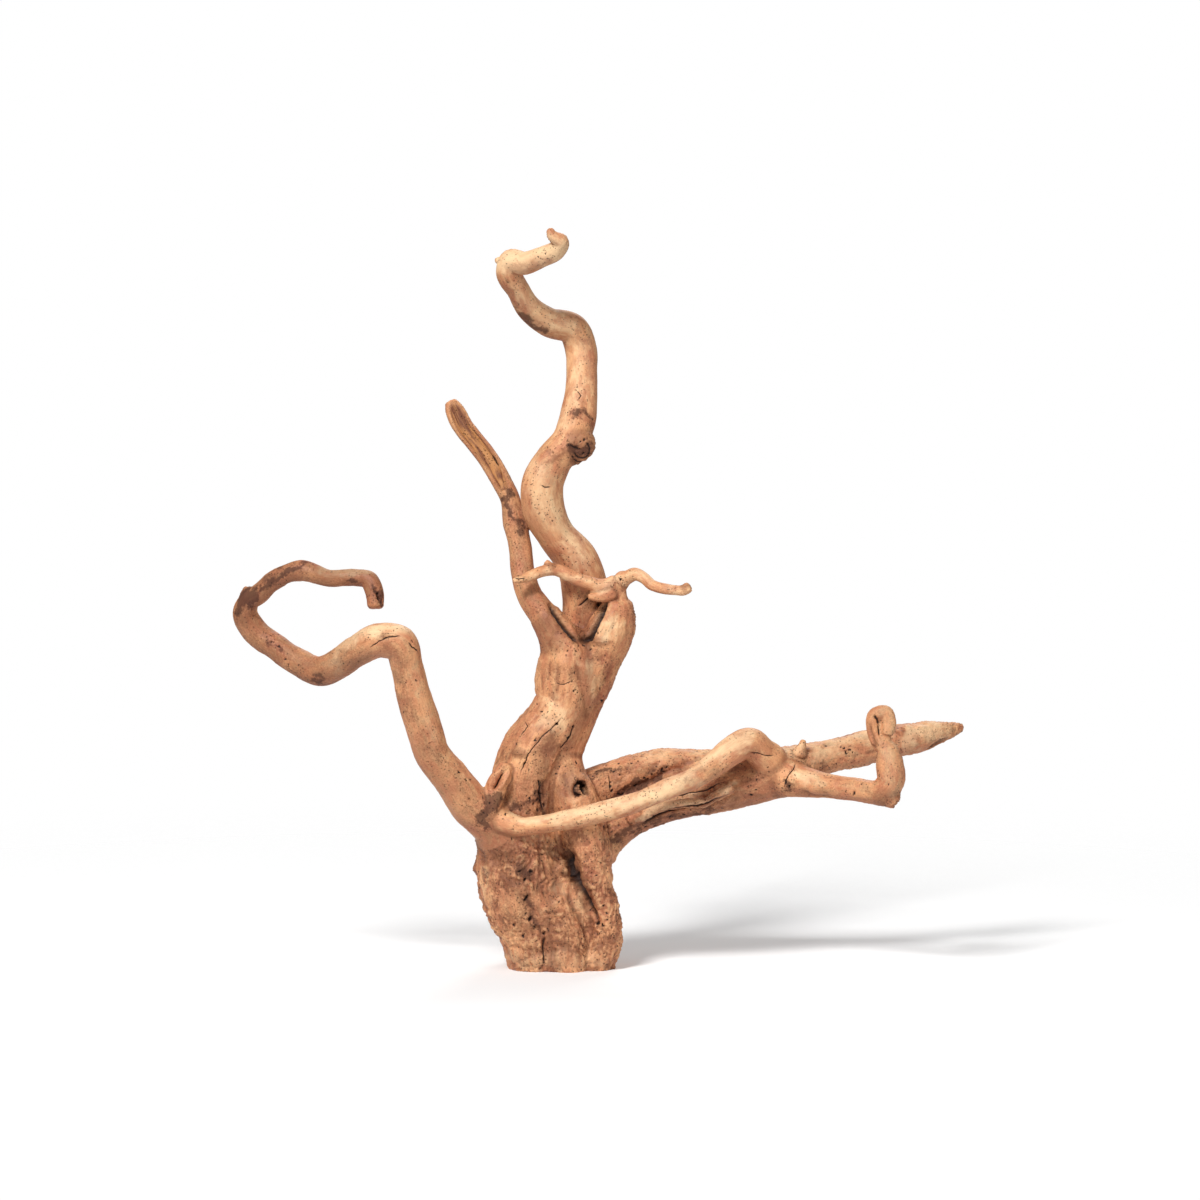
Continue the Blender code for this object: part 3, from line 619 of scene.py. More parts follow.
def rows_near(points, rod):
    """The rows of the points inside the limb's box, widened by the reach."""
    spread = rod["radius"].max() + REACH
    low, high = rod["centre"].min(0) - spread, rod["centre"].max(0) + spread
    return np.flatnonzero(np.all((points > low) & (points < high), axis=1))


print(len(rows_near(longest["centre"], WOOD[0])), "samples of the", longest["name"], "lie near the heel")

# %% Move the skin onto the wood
FAR_OFF = 1.0                  # metres, further than any wood
ON_FLOOR = FINE_SKIN / 4       # points lower than this are the sawn base
ABOVE_FLOOR = 0.00001          # how low any other point may come
LEAST_STEEPNESS = 0.25         # where limbs meet, the mixed slope is shorter than 1


def distance_field(points, look=None):
    """Mixes in limb after limb, then takes each hollow away. look is told each limb's share of a point."""
    distance = np.full(len(points), FAR_OFF)
    slope = np.zeros_like(points)
    for rod in WOOD + HOLLOWS:
        sign = -1.0 if rod["hollow"] else 1.0
        rows = rows_near(points, rod)
        its_distance, its_slope, place = measure(points[rows], rod)
        fillet = rod["fillet"]
        old = sign * distance[rows]
        share = np.clip(0.5 + 0.5 * (old - its_distance) / fillet, 0.0, 1.0)
        distance[rows] = sign * ((1 - share) * old + share * its_distance - fillet * share * (1 - share))
        slope[rows] = (1 - share)[:, None] * slope[rows] + sign * share[:, None] * its_slope
        if look:
            look(rod, rows, share, place, its_distance)
    return distance, slope


def settle(points, rounds=3, longest_move=0.002):
    """Moves every point along the slope until it lies on the wood. The sawn base stays on the floor."""
    on_floor = points[:, 2] < ON_FLOOR
    points[on_floor, 2] = 0.0
    for _ in range(rounds):
        distance, slope = distance_field(points)
        steep = np.maximum(dot(slope, slope), LEAST_STEEPNESS)
        move = -np.clip(distance, -longest_move, longest_move)[:, None] * slope / steep[:, None]
        move[on_floor] = 0.0
        points = points + move
        points[~on_floor, 2] = np.maximum(points[~on_floor, 2], ABOVE_FLOOR)
    return points, np.abs(distance)


points = np.empty(len(skin_mesh.vertices) * 3)
skin_mesh.vertices.foreach_get("co", points)
points, left_over = settle(points.reshape(-1, 3))
print("points lie within", round(float(np.percentile(left_over, 99)) * 1000, 3), "mm of the wood")

# %% [markdown]
# ## Patterns of growth
# Bare root wood is never smooth. Long shallow flutes and fine ridges run with the grain, low lumps and
# cross wrinkles lie where it bent, and insects and rot left round pits. All of them are random but
# smooth, so they are made with noise that is measured in the limb's own directions, and stretched along
# the limb.

# %% Define the noise
ALL_BITS = 0xFFFFFFFF
CORNER_STEPS = np.array((374761393, 668265263, 1442695041))   # odd numbers that spread the corners apart
SEED_STEP = 974634777
STIR = 1274126177


def scramble(corner, seed):
    """A fixed random number from 0 to 1 for each whole-number corner of a grid."""
    mixed = corner @ CORNER_STEPS + seed * SEED_STEP
    mixed = mixed & ALL_BITS
    mixed = ((mixed ^ (mixed >> 13)) * STIR) & ALL_BITS
    return (mixed ^ (mixed >> 16)) / ALL_BITS


def noise(points, seed):
    """From -1 to 1: the random numbers at the eight corners round a point, eased into each other."""
    cell = np.floor(points).astype(np.int64)
    part = points - cell
    ease = part**3 * (part * (6.0 * part - 15.0) + 10.0)
    total = np.zeros(len(points))
    for corner in np.ndindex(2, 2, 2):
        weight = np.prod(np.where(corner, ease, 1.0 - ease), axis=1)
        total += weight * scramble(cell + corner, seed)
    return 2.0 * total - 1.0


def noise_vector(points, seed):
    """Three noises at once, to push a point about."""
    return np.stack([noise(points, seed + k) for k in range(3)], axis=-1)


def smooth_step(value, low, high):
    """From 0 to 1 with level ends while value runs from low to high: 3 t^2 - 2 t^3."""
    t = np.clip((value - low) / (high - low), 0.0, 1.0)
    return t * t * (3.0 - 2.0 * t)


trial = noise(points[:1000] / 0.004, 1)
print("noise runs from", round(trial.min(), 2), "to", round(trial.max(), 2))

# %% Define round dots
DOT_DRIFT = 0.24               # all in cells: how far a dot's middle is off the cell's middle
SMALLEST_DOT = 0.11
DOT_GROWTH = 0.14


def dots(points, seed, share):
    """How deep in a dot a point is: 0 at its rim and 1 at its middle. A share of the cells has one."""
    cell = np.floor(points).astype(np.int64)
    drift = np.stack([scramble(cell, seed + k) for k in (1, 2, 3)], axis=-1)
    middle = 0.5 + DOT_DRIFT * (drift * 2.0 - 1.0)
    size = SMALLEST_DOT + DOT_GROWTH * scramble(cell, seed + 4) ** 2
    off = np.linalg.norm(points - cell - middle, axis=1) / size
    there = scramble(cell, seed + 5) < share
    return np.where(there, np.clip(1.0 - off, 0.0, 1.0), 0.0)


print("dots are", SMALLEST_DOT, "to", SMALLEST_DOT + DOT_GROWTH, "of a cell in radius")

# %% [markdown]
# ## Relief with the grain
# Each limb adds its own relief in its own directions, and where limbs blend the reliefs blend too. Old
# wood on the trunk and the stump is the roughest, and the young crooked limb is almost smooth.

# %% Say how rough each part is
PARTS = range(TWIGS + 1)       # trunk, crooked limb, spur, hook, front, right, lower right, twigs
ROUGHNESS_OF = dict(zip(PARTS, (1.0, 0.4, 0.55, 0.6, 0.45, 0.9, 0.6, 0.5)))
PITTING_OF = dict(zip(PARTS, (0.5, 0.05, 0.08, 0.16, 0.14, 0.5, 0.22, 0.08)))
GNARL_OF = dict(zip(PARTS, (0.22, 0.03, 0.06, 0.08, 0.06, 0.40, 0.12, 0.05)))
LIMB_GAP = 0.7                 # metres between two limbs in the grain's own space, so no two are alike
MASKS = ("height", "dark", "gold", "crease", "cavity")
NOWHERE = 1.0                  # metres, further than any limb

skin = {name: np.zeros(len(points)) for name in MASKS}
skin["nearest"] = np.full(len(points), NOWHERE)
skin["grain"] = np.zeros((len(points), 3))
skin["part"] = np.zeros(len(points), int)
print("masks:", ", ".join(skin))

# %% Shape the grain of a limb
FLUTE_HEIGHT = 0.06            # share of the limb's radius
FLUTE_STRETCH = 5.0
LUMP_HEIGHT, LUMP_SIZE = 0.00045, (0.0055, 0.0055, 0.0080)    # sizes: towards front, towards side, along
KNOB_HEIGHT, KNOB_SIZE = 0.00024, (0.0024, 0.0024, 0.0032)
RIDGE_HEIGHT, RIDGE_SIZE = 0.00011, (0.0016, 0.0016, 0.0170)
WRINKLE_HEIGHT, WRINKLE_SIZE = 0.00012, (0.0060, 0.0060, 0.0013)
FOLD_SIZE = (0.012, 0.012, 0.015)
FLUTES, LUMPS, KNOBS, RIDGE_SEED, FOLDS, WRINKLES = 40, 90, 115, 140, 190, 240    # seeds of the noises


def grain_relief(rod, place):
    """Flutes, lumps, ridges along the limb and wrinkles across it, each a noise stretched its own way, and
    where raised places get painted light and low ones painted shade.
    """
    rough = ROUGHNESS_OF[rod["part"]]
    thick = rod["radius"].mean()
    number = rod["number"]
    flutes = FLUTE_HEIGHT * thick * noise(place / (thick, thick, FLUTE_STRETCH * thick), FLUTES + number)
    lumps = LUMP_HEIGHT * rough * noise(place / LUMP_SIZE, LUMPS + number)
    knobs = KNOB_HEIGHT * rough**2 * noise(place / KNOB_SIZE, KNOBS + number)
    ridges = RIDGE_HEIGHT * rough * noise(place / RIDGE_SIZE, RIDGE_SEED + number)
    folded = smooth_step(noise(place / FOLD_SIZE, FOLDS + number), 0.0, 0.5)
    wrinkles = WRINKLE_HEIGHT * rough * folded * noise(place / WRINKLE_SIZE, WRINKLES + number)
    # Painted light and shade: raised ridges, knobs and lumps will be painted lighter, low places darker.
    cavity = 0.5 * ridges / RIDGE_HEIGHT + knobs / KNOB_HEIGHT + lumps / LUMP_HEIGHT
    return flutes + lumps + knobs + ridges + wrinkles, cavity


print("flutes are", FLUTE_HEIGHT, "of the radius high")

# %% Shape the pits of a limb
PIT_DEPTH = 0.0007
CROWD_SIZE = (0.014, 0.014, 0.024)
LARGE_PIT_CELL = (0.0042, 0.0042, 0.0055)
SMALL_PIT_CELL = (0.0022, 0.0022, 0.0028)
PIT_BEND, PIT_BEND_SIZE = 0.0005, 0.0012     # bends the rims, so that no pit is a true circle
CROWDS, BENDS, LARGE_PITS, SMALL_PITS = 300, 305, 310, 320    # seeds


def pits(rod, place):
    """Round pits in two sizes, crowded in some places and missing in others."""
    crowd = smooth_step(noise(place / CROWD_SIZE, CROWDS + rod["number"]), -0.45, 0.55)
    crowd = PITTING_OF[rod["part"]] * crowd
    shifted = place + LIMB_GAP * rod["number"] + PIT_BEND * noise_vector(place / PIT_BEND_SIZE, BENDS)
    large = dots(shifted / LARGE_PIT_CELL, LARGE_PITS, 0.75 * crowd)
    small = dots(shifted / SMALL_PIT_CELL, SMALL_PITS, crowd)
    return smooth_step(large, 0.0, 0.7) + 0.6 * smooth_step(small, 0.0, 0.8)


print("pits are up to", round(1.6 * PIT_DEPTH * 1000, 1), "mm deep")

# %% Add up the relief of all the limbs
LEAST_SHARE = 0.002
FIBRE_HEIGHT, FIBRE_SIZE = 0.00030, (0.0009, 0.0009, 0.012)
FIBRES = 400                   # seed
HOLLOW_SHADE = 0.45


def blend(mask, rows, share, value):
    """Mixes a limb's value into a mask by the limb's share of each point."""
    skin[mask][rows] = (1 - share) * skin[mask][rows] + share * value


def grow_hollow(rod, rows, share, place):
    """Bare fibres in a split, and painted shade inside the other hollows."""
    is_split = rod["part"] == SPLIT_SPUR
    blend("height", rows, share, FIBRE_HEIGHT * noise(place / FIBRE_SIZE, FIBRES + rod["number"]))
    blend("cavity", rows, share, 0.0)
    skin["gold"][rows] = np.maximum(skin["gold"][rows], share * is_split)
    # Painted shade inside every hollow but the spur's split.
    painted_shade = share * (0.0 if is_split else HOLLOW_SHADE)
    skin["dark"][rows] = np.maximum((1 - share) * skin["dark"][rows], painted_shade)
    mostly = share > 0.5
    skin["grain"][rows[mostly]] = place[mostly] + (0.0, 0.0, LIMB_GAP * rod["number"])


def grow(rod, rows, share, place, its_distance):
    """Adds one limb's relief to the points that it has a share of. Halfway to the next limb is a crease,
    with painted shade.
    """
    own = share > LEAST_SHARE
    rows, share, place, its_distance = rows[own], share[own], place[own], its_distance[own]
    if rod["hollow"]:
        grow_hollow(rod, rows, share, place)
        return
    height, cavity = grain_relief(rod, place)
    pitted = pits(rod, place)
    blend("height", rows, share, height - PIT_DEPTH * pitted)
    blend("cavity", rows, share, cavity)
    blend("dark", rows, share, np.clip(pitted, 0.0, 1.0))
    # Painted shade where two limbs meet, strongest halfway between them.
    skin["crease"][rows] = np.maximum((1 - share) * skin["crease"][rows], 4.0 * share * (1.0 - share))
    closest = its_distance < skin["nearest"][rows]
    skin["nearest"][rows[closest]] = its_distance[closest]
    skin["part"][rows[closest]] = rod["part"]
    skin["grain"][rows[closest]] = place[closest] + (0.0, 0.0, LIMB_GAP * rod["number"])


slope = distance_field(points, grow)[1]
facing = unit(slope)
print("points per part:", np.bincount(skin["part"]).tolist())

# %% [markdown]
# ## Gnarled wood
# The stump is burled, and so is the thick side limb, though less: rounded knuckles of wood with sharp
# creases between them, in three sizes, painted lighter on their tops and darker in their creases as
# painted light and shade. They come in patches and are crowded low down. Wood that faces down is noted
# too, so that it can be painted darker as painted shade.

# %% Raise the knuckles
GNARL_HEIGHT = 0.0011
GNARL_SQUASH = (1.0, 1.0, 0.8)
GNARL_BEND, GNARL_BEND_SIZE = 0.0035, 0.009
# The last number of a knuckle paints its top lighter and its creases darker: painted light and shade.
KNUCKLES = (                   # size, seed, share of the height, share of the light and dark
    (0.0064, 440, 0.50, 0.4),
    (0.0032, 441, 0.45, 0.8),
    (0.0018, 442, 0.38, 0.9),
)
KNUCKLE_GAIN = 2.6             # the noise is seldom over 0.77 off nought, so this makes a knuckle -1 to 1
GNARL_FULL, GNARL_END = 0.062, 0.100         # heights where the stump is fully gnarled, and where it ends
BETWEEN_PATCHES = 0.35         # share of the gnarl that is left there
GNARL_LIGHT_AND_SHADE = 1.3
PATCH_SIZE, UNDERSIDE_SIZE = 0.013, 0.012
BENT_BY, PATCHY_BY, UNDERSIDE_BY = 430, 425, 420    # seeds
UNDERSIDE_START, UNDERSIDE_UNEVEN, UNDERSIDE_FULL = 0.25, 0.25, 1.3


def gnarl(points):
    """Adds up the knuckles: each is how far a noise is from nought, at a place bent by more noise. It also
    gives painted light on their tops and painted shade between them.
    """
    bend = noise_vector(points / GNARL_BEND_SIZE, BENT_BY)
    bent = points * GNARL_SQUASH + GNARL_BEND * bend
    height, cavity = np.zeros(len(points)), np.zeros(len(points))
    for size, seed, share, tone in KNUCKLES:
        knuckle = KNUCKLE_GAIN * np.abs(noise(bent / size, seed)) - 1.0
        height += share * knuckle
        cavity += tone * knuckle
    return GNARL_HEIGHT * height, cavity


low = smooth_step(-points[:, 2], -GNARL_END, -GNARL_FULL)
gnarled = np.array([GNARL_OF[part] for part in PARTS])[skin["part"]]
gnarled = np.where(skin["part"] == TRUNK, gnarled + (1.0 - gnarled) * low, gnarled)
patchy = smooth_step(noise(points / PATCH_SIZE, PATCHY_BY), -0.7, 0.5)
gnarled *= BETWEEN_PATCHES + (1.0 - BETWEEN_PATCHES) * patchy
bumps, their_light_and_shade = gnarl(points)
skin["height"] += gnarled * bumps
skin["cavity"] += GNARL_LIGHT_AND_SHADE * gnarled * their_light_and_shade
skin["gnarled"] = gnarled
# Painted shade: wood that faces down is marked here, to be painted darker.
uneven = UNDERSIDE_UNEVEN * noise(points / UNDERSIDE_SIZE, UNDERSIDE_BY)
skin["underside"] = smooth_step(UNDERSIDE_START - facing[:, 2] + uneven, 0.0, UNDERSIDE_FULL)
relief = 1000.0 * skin["height"]
print("relief from", round(relief.min(), 2), "to", round(relief.max(), 2), "mm")

# %% [markdown]
# ## Marks read off the picture
# Some marks make this piece the one in the photograph: the long crack down the trunk, the two crevices of
# the notch, the scar on the front stub. Each is drawn as a line of picture points on the limb that
# carries it. A point of the skin is looked up by where the camera sees it, and only where the wood faces
# the camera. The look-up is shaken a little by noise, so that no mark has a ruled edge.

# %% Look the skin up in the picture
FACING_START, FACING_FULL = 0.02, 0.25
MARK_REACH = 0.012             # metres round a mark that are looked at
END_SHARPNESS, LEAST_AT_END = 6.0, 0.08      # how fast a line fades at its ends, and what is left there
SHAKE_OF_LINES = (0.5, 0.9)    # picture points, from fine noise and from coarse noise
SHAKE_OF_HOLES = (1.5, 0.0)
SHAKE_OF_PATCHES = (2.5, 6.0)
FINE_NOISE = (0.0014, 501)     # size in metres, seed
COARSE_NOISE = (0.0060, 503)


def picture_place(points):
    """Where the camera sees each point, in picture points from the top left corner."""
    away = points - np.array(camera.location)
    depth = -dot(away, back)
    across = away[:, 0]
    upward = away @ np.array((0.0, math.sin(CAMERA_LIFT), math.cos(CAMERA_LIFT)))
    scale = CAMERA_DISTANCE / POINT_SIZE / depth
    return np.stack([PICTURE_SIDE / 2 + across * scale, PICTURE_SIDE / 2 - upward * scale], axis=-1)


def shake_of(size, seed):
    """Two noises, to push a picture place about."""
    return np.stack([noise(points / size, seed), noise(points / size, seed + 1)], axis=-1)


fine_shake = shake_of(*FINE_NOISE)
coarse_shake = shake_of(*COARSE_NOISE)
seen = picture_place(points)
turned_here = smooth_step(dot(facing, back), FACING_START, FACING_FULL)
print(int((turned_here > 0).sum()), "points face the camera")

# %% Find the points near a drawn line
def near_line(parts, line, shake=SHAKE_OF_LINES):
    """The skin's rows near a drawn line, their distance to it, their side of it, and a fade at its ends."""
    line = np.array(line, float).reshape(-1, 2)
    margin = MARK_REACH / POINT_SIZE
    inside = np.all((seen > line.min(0) - margin) & (seen < line.max(0) + margin), axis=1)
    rows = np.flatnonzero(inside & (turned_here > 0.0) & np.isin(skin["part"], parts))
    spots = seen[rows] + shake[0] * fine_shake[rows] + shake[1] * coarse_shake[rows]
    if len(line) == 1:
        distance = np.linalg.norm(spots - line[0], axis=1) * POINT_SIZE
        return rows, distance, np.ones(len(rows)), turned_here[rows]
    best, side, along = np.full(len(rows), np.inf), np.ones(len(rows)), np.zeros(len(rows))
    lengths = np.linalg.norm(np.diff(line, axis=0), axis=1)
    before = np.concatenate([[0.0], np.cumsum(lengths)])
    for leg, (start, end) in enumerate(zip(line[:-1], line[1:])):
        run = end - start
        t = np.clip((spots - start) @ run / (run @ run), 0.0, 1.0)
        off = spots - start - t[:, None] * run
        distance = np.linalg.norm(off, axis=1)
        nearer = distance < best
        best[nearer] = distance[nearer]
        side[nearer] = np.sign(off[nearer] @ np.array((-run[1], run[0])) + TINY)
        along[nearer] = (before[leg] + t[nearer] * lengths[leg]) / before[-1]
    fade = np.clip(END_SHARPNESS * np.minimum(along, 1.0 - along) + LEAST_AT_END, 0.0, 1.0)
    return rows, best * POINT_SIZE, side, fade * turned_here[rows]


def arc(middle, radius, start, end):
    """Nine picture points on an arc: start and end in degrees, anticlockwise from the right."""
    angle = np.radians(np.linspace(start, end, 9))
    return np.stack([middle[0] + radius * np.cos(angle), middle[1] - radius * np.sin(angle)], axis=-1)


def several(first, last, line, count):
    """The same line drawn count times, its start moved evenly from first to last."""
    first, last, line = (np.array(part, float) for part in (first, last, line))
    moves = np.linspace(0.0, 1.0, count)[:, None] * (last - first)
    return [line + first - line[0] + move for move in moves]


print("an arc has", len(arc((0, 0), 1.0, 0, 90)), "points")

# %% [markdown]
# ## Cracks, holes, grooves and ridges
# A crack is a narrow groove that is painted almost black inside, as painted shade. A hole is a round pit,
# a groove a wide soft dent, and a ridge the same upside down; a hole is painted dark inside and a groove
# darker along its middle as painted shade, and a ridge lighter as a painted highlight. The fine line of a
# crack is narrower than the skin's squares, so the signed distance to it is kept for the material, which
# can draw it as thin as it likes.

# %% List the cracks
KNOT = (582, 450)
CRACKS = [  # limbs, half width, depth, picture points
    ([TRUNK], 0.0004, 0.0008, [(562, 716), (557, 722), (548, 731), (540, 739), (529, 753), (525, 762),
        (520, 775)]),
    ([TRUNK], 0.0004, 0.0008, [(574, 726), (569, 736), (565, 743), (561, 750)]),
    ([TRUNK], 0.0006, 0.001, [(541, 781), (540, 792), (542, 802), (545, 812)]),
    ([TRUNK, CROOKED, SPLIT_SPUR], 0.0018, 0.0042, [(549, 603), (556, 613), (565, 626), (574, 637),
        (582, 644)]),
    ([TRUNK, CROOKED], 0.0022, 0.0045, [(604, 599), (599, 613), (594, 626), (588, 637), (582, 644)]),
    ([RIGHT], 0.0005, 0.0006, [(636, 810), (668, 797), (704, 791), (724, 781)]),
    ([RIGHT], 0.0007, 0.0012, [(640, 825), (668, 811), (704, 804), (728, 795)]),
    ([HOOK], 0.0007, 0.0014, [(494, 789), (499, 780), (504, 771)]),
    ([CROOKED], 0.0006, 0.001, [(590, 597), (584, 602), (578, 606)]),
    ([TRUNK], 0.0005, 0.0008, [(545, 936), (543, 949), (545, 966)]),
    ([TRUNK], 0.0012, 0.0032, [(563, 846), (568, 862), (574, 880), (583, 898), (593, 913), (601, 923)]),
    ([HOOK], 0.0004, 0.0007, [(370, 648), (379, 641), (389, 637), (401, 636)]),
    ([HOOK], 0.0004, 0.0005, [(409, 642), (414, 648), (418, 652)]),
    ([FRONT, RIGHT], 0.0004, 0.0005, [(751, 752), (762, 755), (774, 756)]),
    ([RIGHT, LOWER_RIGHT], 0.0004, 0.0006, [(796, 763), (790, 772), (785, 781), (784, 788)]),
    ([LOWER_RIGHT], 0.0008, 0.0014, [(873, 715), (877, 720), (880, 725)]),
    ([LOWER_RIGHT], 0.0006, 0.0012, [(879, 725), (880, 731), (880, 736)]),
    ([SPLIT_SPUR], 0.0004, 0.0006, [(492, 455), (495, 460), (499, 466)]),
    ([TWIGS], 0.0003, 0.0004, [(514, 577), (519, 579), (526, 578)]),
    ([CROOKED], 0.0004, 0.0004, [(541, 485), (545, 487), (550, 487)]),
    ([CROOKED], 0.0003, 0.0003, [(577, 391), (581, 396), (578, 400)]),
    ([TRUNK], 0.0003, 0.0004, [(524, 721), (527, 726), (520, 735)]),
    ([TRUNK], 0.0003, 0.0003, [(556, 683), (564, 685), (571, 681)]),
    ([RIGHT], 0.0004, 0.0006, [(609, 775), (610, 782), (609, 790)]),
    ([CROOKED], 0.0006, 0.001, [(570, 445), (575, 448), (581, 450)]),
    ([CROOKED], 0.0005, 0.0008, arc(KNOT, 8.5, 190, 330)),
    ([CROOKED], 0.0004, 0.0006, arc(KNOT, 12.0, 200, 300)),
    ([CROOKED], 0.0005, 0.0008, arc(KNOT, 8.0, -50, 60)),
]
print(len(CRACKS), "cracks")

# %% List the holes
HOLES = [  # limbs, largest radius, depth, picture points, one hole near each
    ([TRUNK, RIGHT], 0.004, 0.003, [(580, 785), (580, 792)]),
    ([TRUNK], 0.001, 0.0018, [(557, 722), (525, 762)]),
    ([TRUNK], 0.0009, 0.0016, [(573, 728), (567, 739), (564, 744), (561, 749)]),
    ([TRUNK], 0.0007, 0.001, [(548, 670), (561, 675), (577, 674), (573, 679), (577, 691), (574, 690)]),
    ([TRUNK], 0.0007, 0.0009, [(606, 675), (609, 678), (605, 682), (602, 689), (604, 695), (601, 699),
        (545, 707)]),
    ([TRUNK], 0.001, 0.0008, [(517, 745)]),
    ([TRUNK], 0.0006, 0.0006, [(520, 754), (574, 747), (537, 759), (536, 704), (542, 709), (548, 711)]),
    ([TRUNK], 0.0009, 0.0012, [(574, 645), (579, 643), (585, 645), (588, 649), (577, 650), (571, 652),
        (581, 654)]),
    ([TRUNK], 0.0007, 0.0009, [(592, 641), (594, 647), (567, 647), (574, 656), (568, 655)]),
    ([TRUNK], 0.0006, 0.0008, [(559, 767), (563, 770), (560, 773), (565, 774), (556, 771), (562, 776),
        (566, 768)]),
    ([RIGHT, TRUNK], 0.0018, 0.003, [(606, 826)]),
    ([TRUNK], 0.0012, 0.0018, [(541, 785), (542, 793), (539, 800), (545, 806), (541, 811)]),
    ([TRUNK], 0.0008, 0.001, [(514, 803), (523, 804), (530, 800), (519, 810), (528, 812), (535, 807),
        (524, 796), (512, 791), (534, 793), (549, 800), (552, 809), (574, 795), (576, 803),
        (578, 811)]),
    ([TRUNK], 0.0013, 0.002, [(521, 870), (524, 877), (533, 874)]),
    ([TRUNK], 0.0011, 0.0018, [(528, 898), (527, 903), (530, 919), (545, 936)]),
    ([TRUNK], 0.0008, 0.0012, [(552, 921), (526, 913), (524, 938), (535, 929), (558, 898), (544, 893),
        (545, 861)]),
    ([TRUNK], 0.0007, 0.001, [(513, 926), (518, 883), (513, 878), (540, 886), (537, 868), (559, 878),
        (566, 861), (548, 843), (556, 840), (561, 836), (542, 932), (549, 928), (538, 922),
        (531, 908)]),
    ([TRUNK], 0.0012, 0.002, [(598, 921), (603, 923)]),
    ([TRUNK], 0.0007, 0.001, [(604, 908), (605, 912), (609, 917), (615, 910), (611, 928), (613, 933),
        (608, 921)]),
    ([TRUNK], 0.0006, 0.0008, [(617, 921), (619, 915), (620, 927), (614, 938), (604, 930), (583, 948),
        (597, 936), (588, 873), (592, 876), (589, 879), (594, 873), (596, 879), (586, 876), (591, 882),
        (583, 851), (595, 845), (585, 862), (600, 862), (607, 868), (589, 889), (579, 840)]),
    ([RIGHT], 0.0008, 0.001, [(598, 768), (603, 771), (608, 768), (612, 772), (616, 769), (601, 777),
        (592, 777)]),
    ([RIGHT], 0.0007, 0.001, [(621, 766), (627, 768), (634, 764), (606, 763), (613, 764), (619, 773),
        (644, 768)]),
    ([RIGHT], 0.0009, 0.0014, [(652, 775), (658, 772), (662, 769), (640, 782), (634, 786), (646, 779),
        (668, 768)]),
    ([RIGHT], 0.0009, 0.001, [(613, 793), (618, 797), (612, 788), (624, 793), (610, 782)]),
    ([RIGHT], 0.0008, 0.001, [(755, 790), (752, 797), (748, 785), (757, 782), (661, 821), (655, 823),
        (672, 818), (683, 815), (690, 811), (704, 806), (643, 827), (634, 832), (665, 813),
        (716, 803)]),
    ([RIGHT], 0.0009, 0.0012, [(843, 750), (846, 747), (849, 751), (851, 746), (854, 749), (847, 754),
        (841, 747)]),
    ([LOWER_RIGHT], 0.001, 0.0014, [(861, 786), (855, 791), (786, 783), (790, 788)]),
    ([HOOK], 0.0013, 0.0022, [(376, 589), (378, 593), (381, 598)]),
    ([HOOK], 0.0006, 0.0009, [(397, 631), (391, 628), (412, 645), (355, 582), (317, 584), (302, 649),
        (298, 664)]),
    ([HOOK], 0.0007, 0.001, [(273, 641), (278, 646), (284, 660), (286, 664), (361, 660), (345, 656)]),
    ([HOOK], 0.0009, 0.0014, [(499, 799), (489, 805)]),
    ([FRONT], 0.0008, 0.0008, [(601, 804), (768, 764), (505, 815)]),
    ([RIGHT], 0.0012, 0.0014, [(954, 739), (950, 743)]),
    ([TWIGS], 0.0012, 0.0014, [(619, 578)]),
    ([CROOKED], 0.0007, 0.0008, [(593, 418), (560, 434)]),
    ([CROOKED], 0.0008, 0.0012, [(579, 442), (588, 440), (588, 447), (581, 454), (585, 461)]),
    ([HOOK], 0.0006, 0.0008, [(446, 749), (452, 753), (459, 771), (465, 778), (470, 780), (466, 798),
        (463, 806)]),
]
print(sum(len(places) for parts, radius, depth, places in HOLES), "holes")

# %% List the grooves and ridges
GROOVES = [  # limbs, half width, depth, picture points
    ([TRUNK], 0.0036, 0.0026, [(566, 846), (572, 862), (579, 880), (590, 905), (599, 918)]),
    ([TRUNK], 0.002, 0.001, [(566, 742), (556, 765), (546, 785), (541, 812)]),
    ([TRUNK], 0.0016, 0.0008, [(575, 655), (578, 675), (586, 700), (590, 720)]),
    ([TRUNK, RIGHT], 0.002, 0.0016, [(612, 833), (620, 842), (629, 850)]),
    ([TRUNK], 0.004, 0.0026, [(487, 862), (502, 858), (518, 860)]),
    ([TRUNK], 0.0022, 0.0012, [(524, 880), (528, 900), (532, 920), (540, 935)]),
    ([TRUNK], 0.0024, 0.001, [(505, 905), (512, 922), (520, 934)]),
    ([TRUNK], 0.0014, 0.001, [(505, 946), (530, 950), (548, 953)]),
    ([TRUNK], 0.001, 0.0006, [(551, 945), (556, 944), (561, 948), (557, 952), (551, 950)]),
    ([HOOK], 0.0012, 0.0022, [(492, 790), (498, 782), (504, 773)]),
    ([HOOK], 0.0016, 0.0012, [(375, 588), (380, 597), (384, 604)]),
    ([CROOKED], 0.003, 0.0012, [(573, 446), (582, 450), (590, 448)]),
    ([CROOKED], 0.0014, 0.0006, [(577, 416), (584, 411), (592, 416), (592, 432)]),
    ([RIGHT], 0.0022, 0.0016, [(612, 798), (630, 790), (648, 782), (668, 772), (690, 764)]),
    ([RIGHT], 0.0012, 0.0008, [(705, 808), (722, 800), (738, 790)]),
    ([LOWER_RIGHT], 0.0014, 0.0014, [(868, 722), (874, 745), (873, 768)]),
    ([LOWER_RIGHT], 0.0014, 0.001, [(798, 790), (812, 796), (835, 799)]),
    ([FRONT], 0.0014, 0.0005, [(640, 794), (648, 790), (658, 791), (655, 797)]),
]
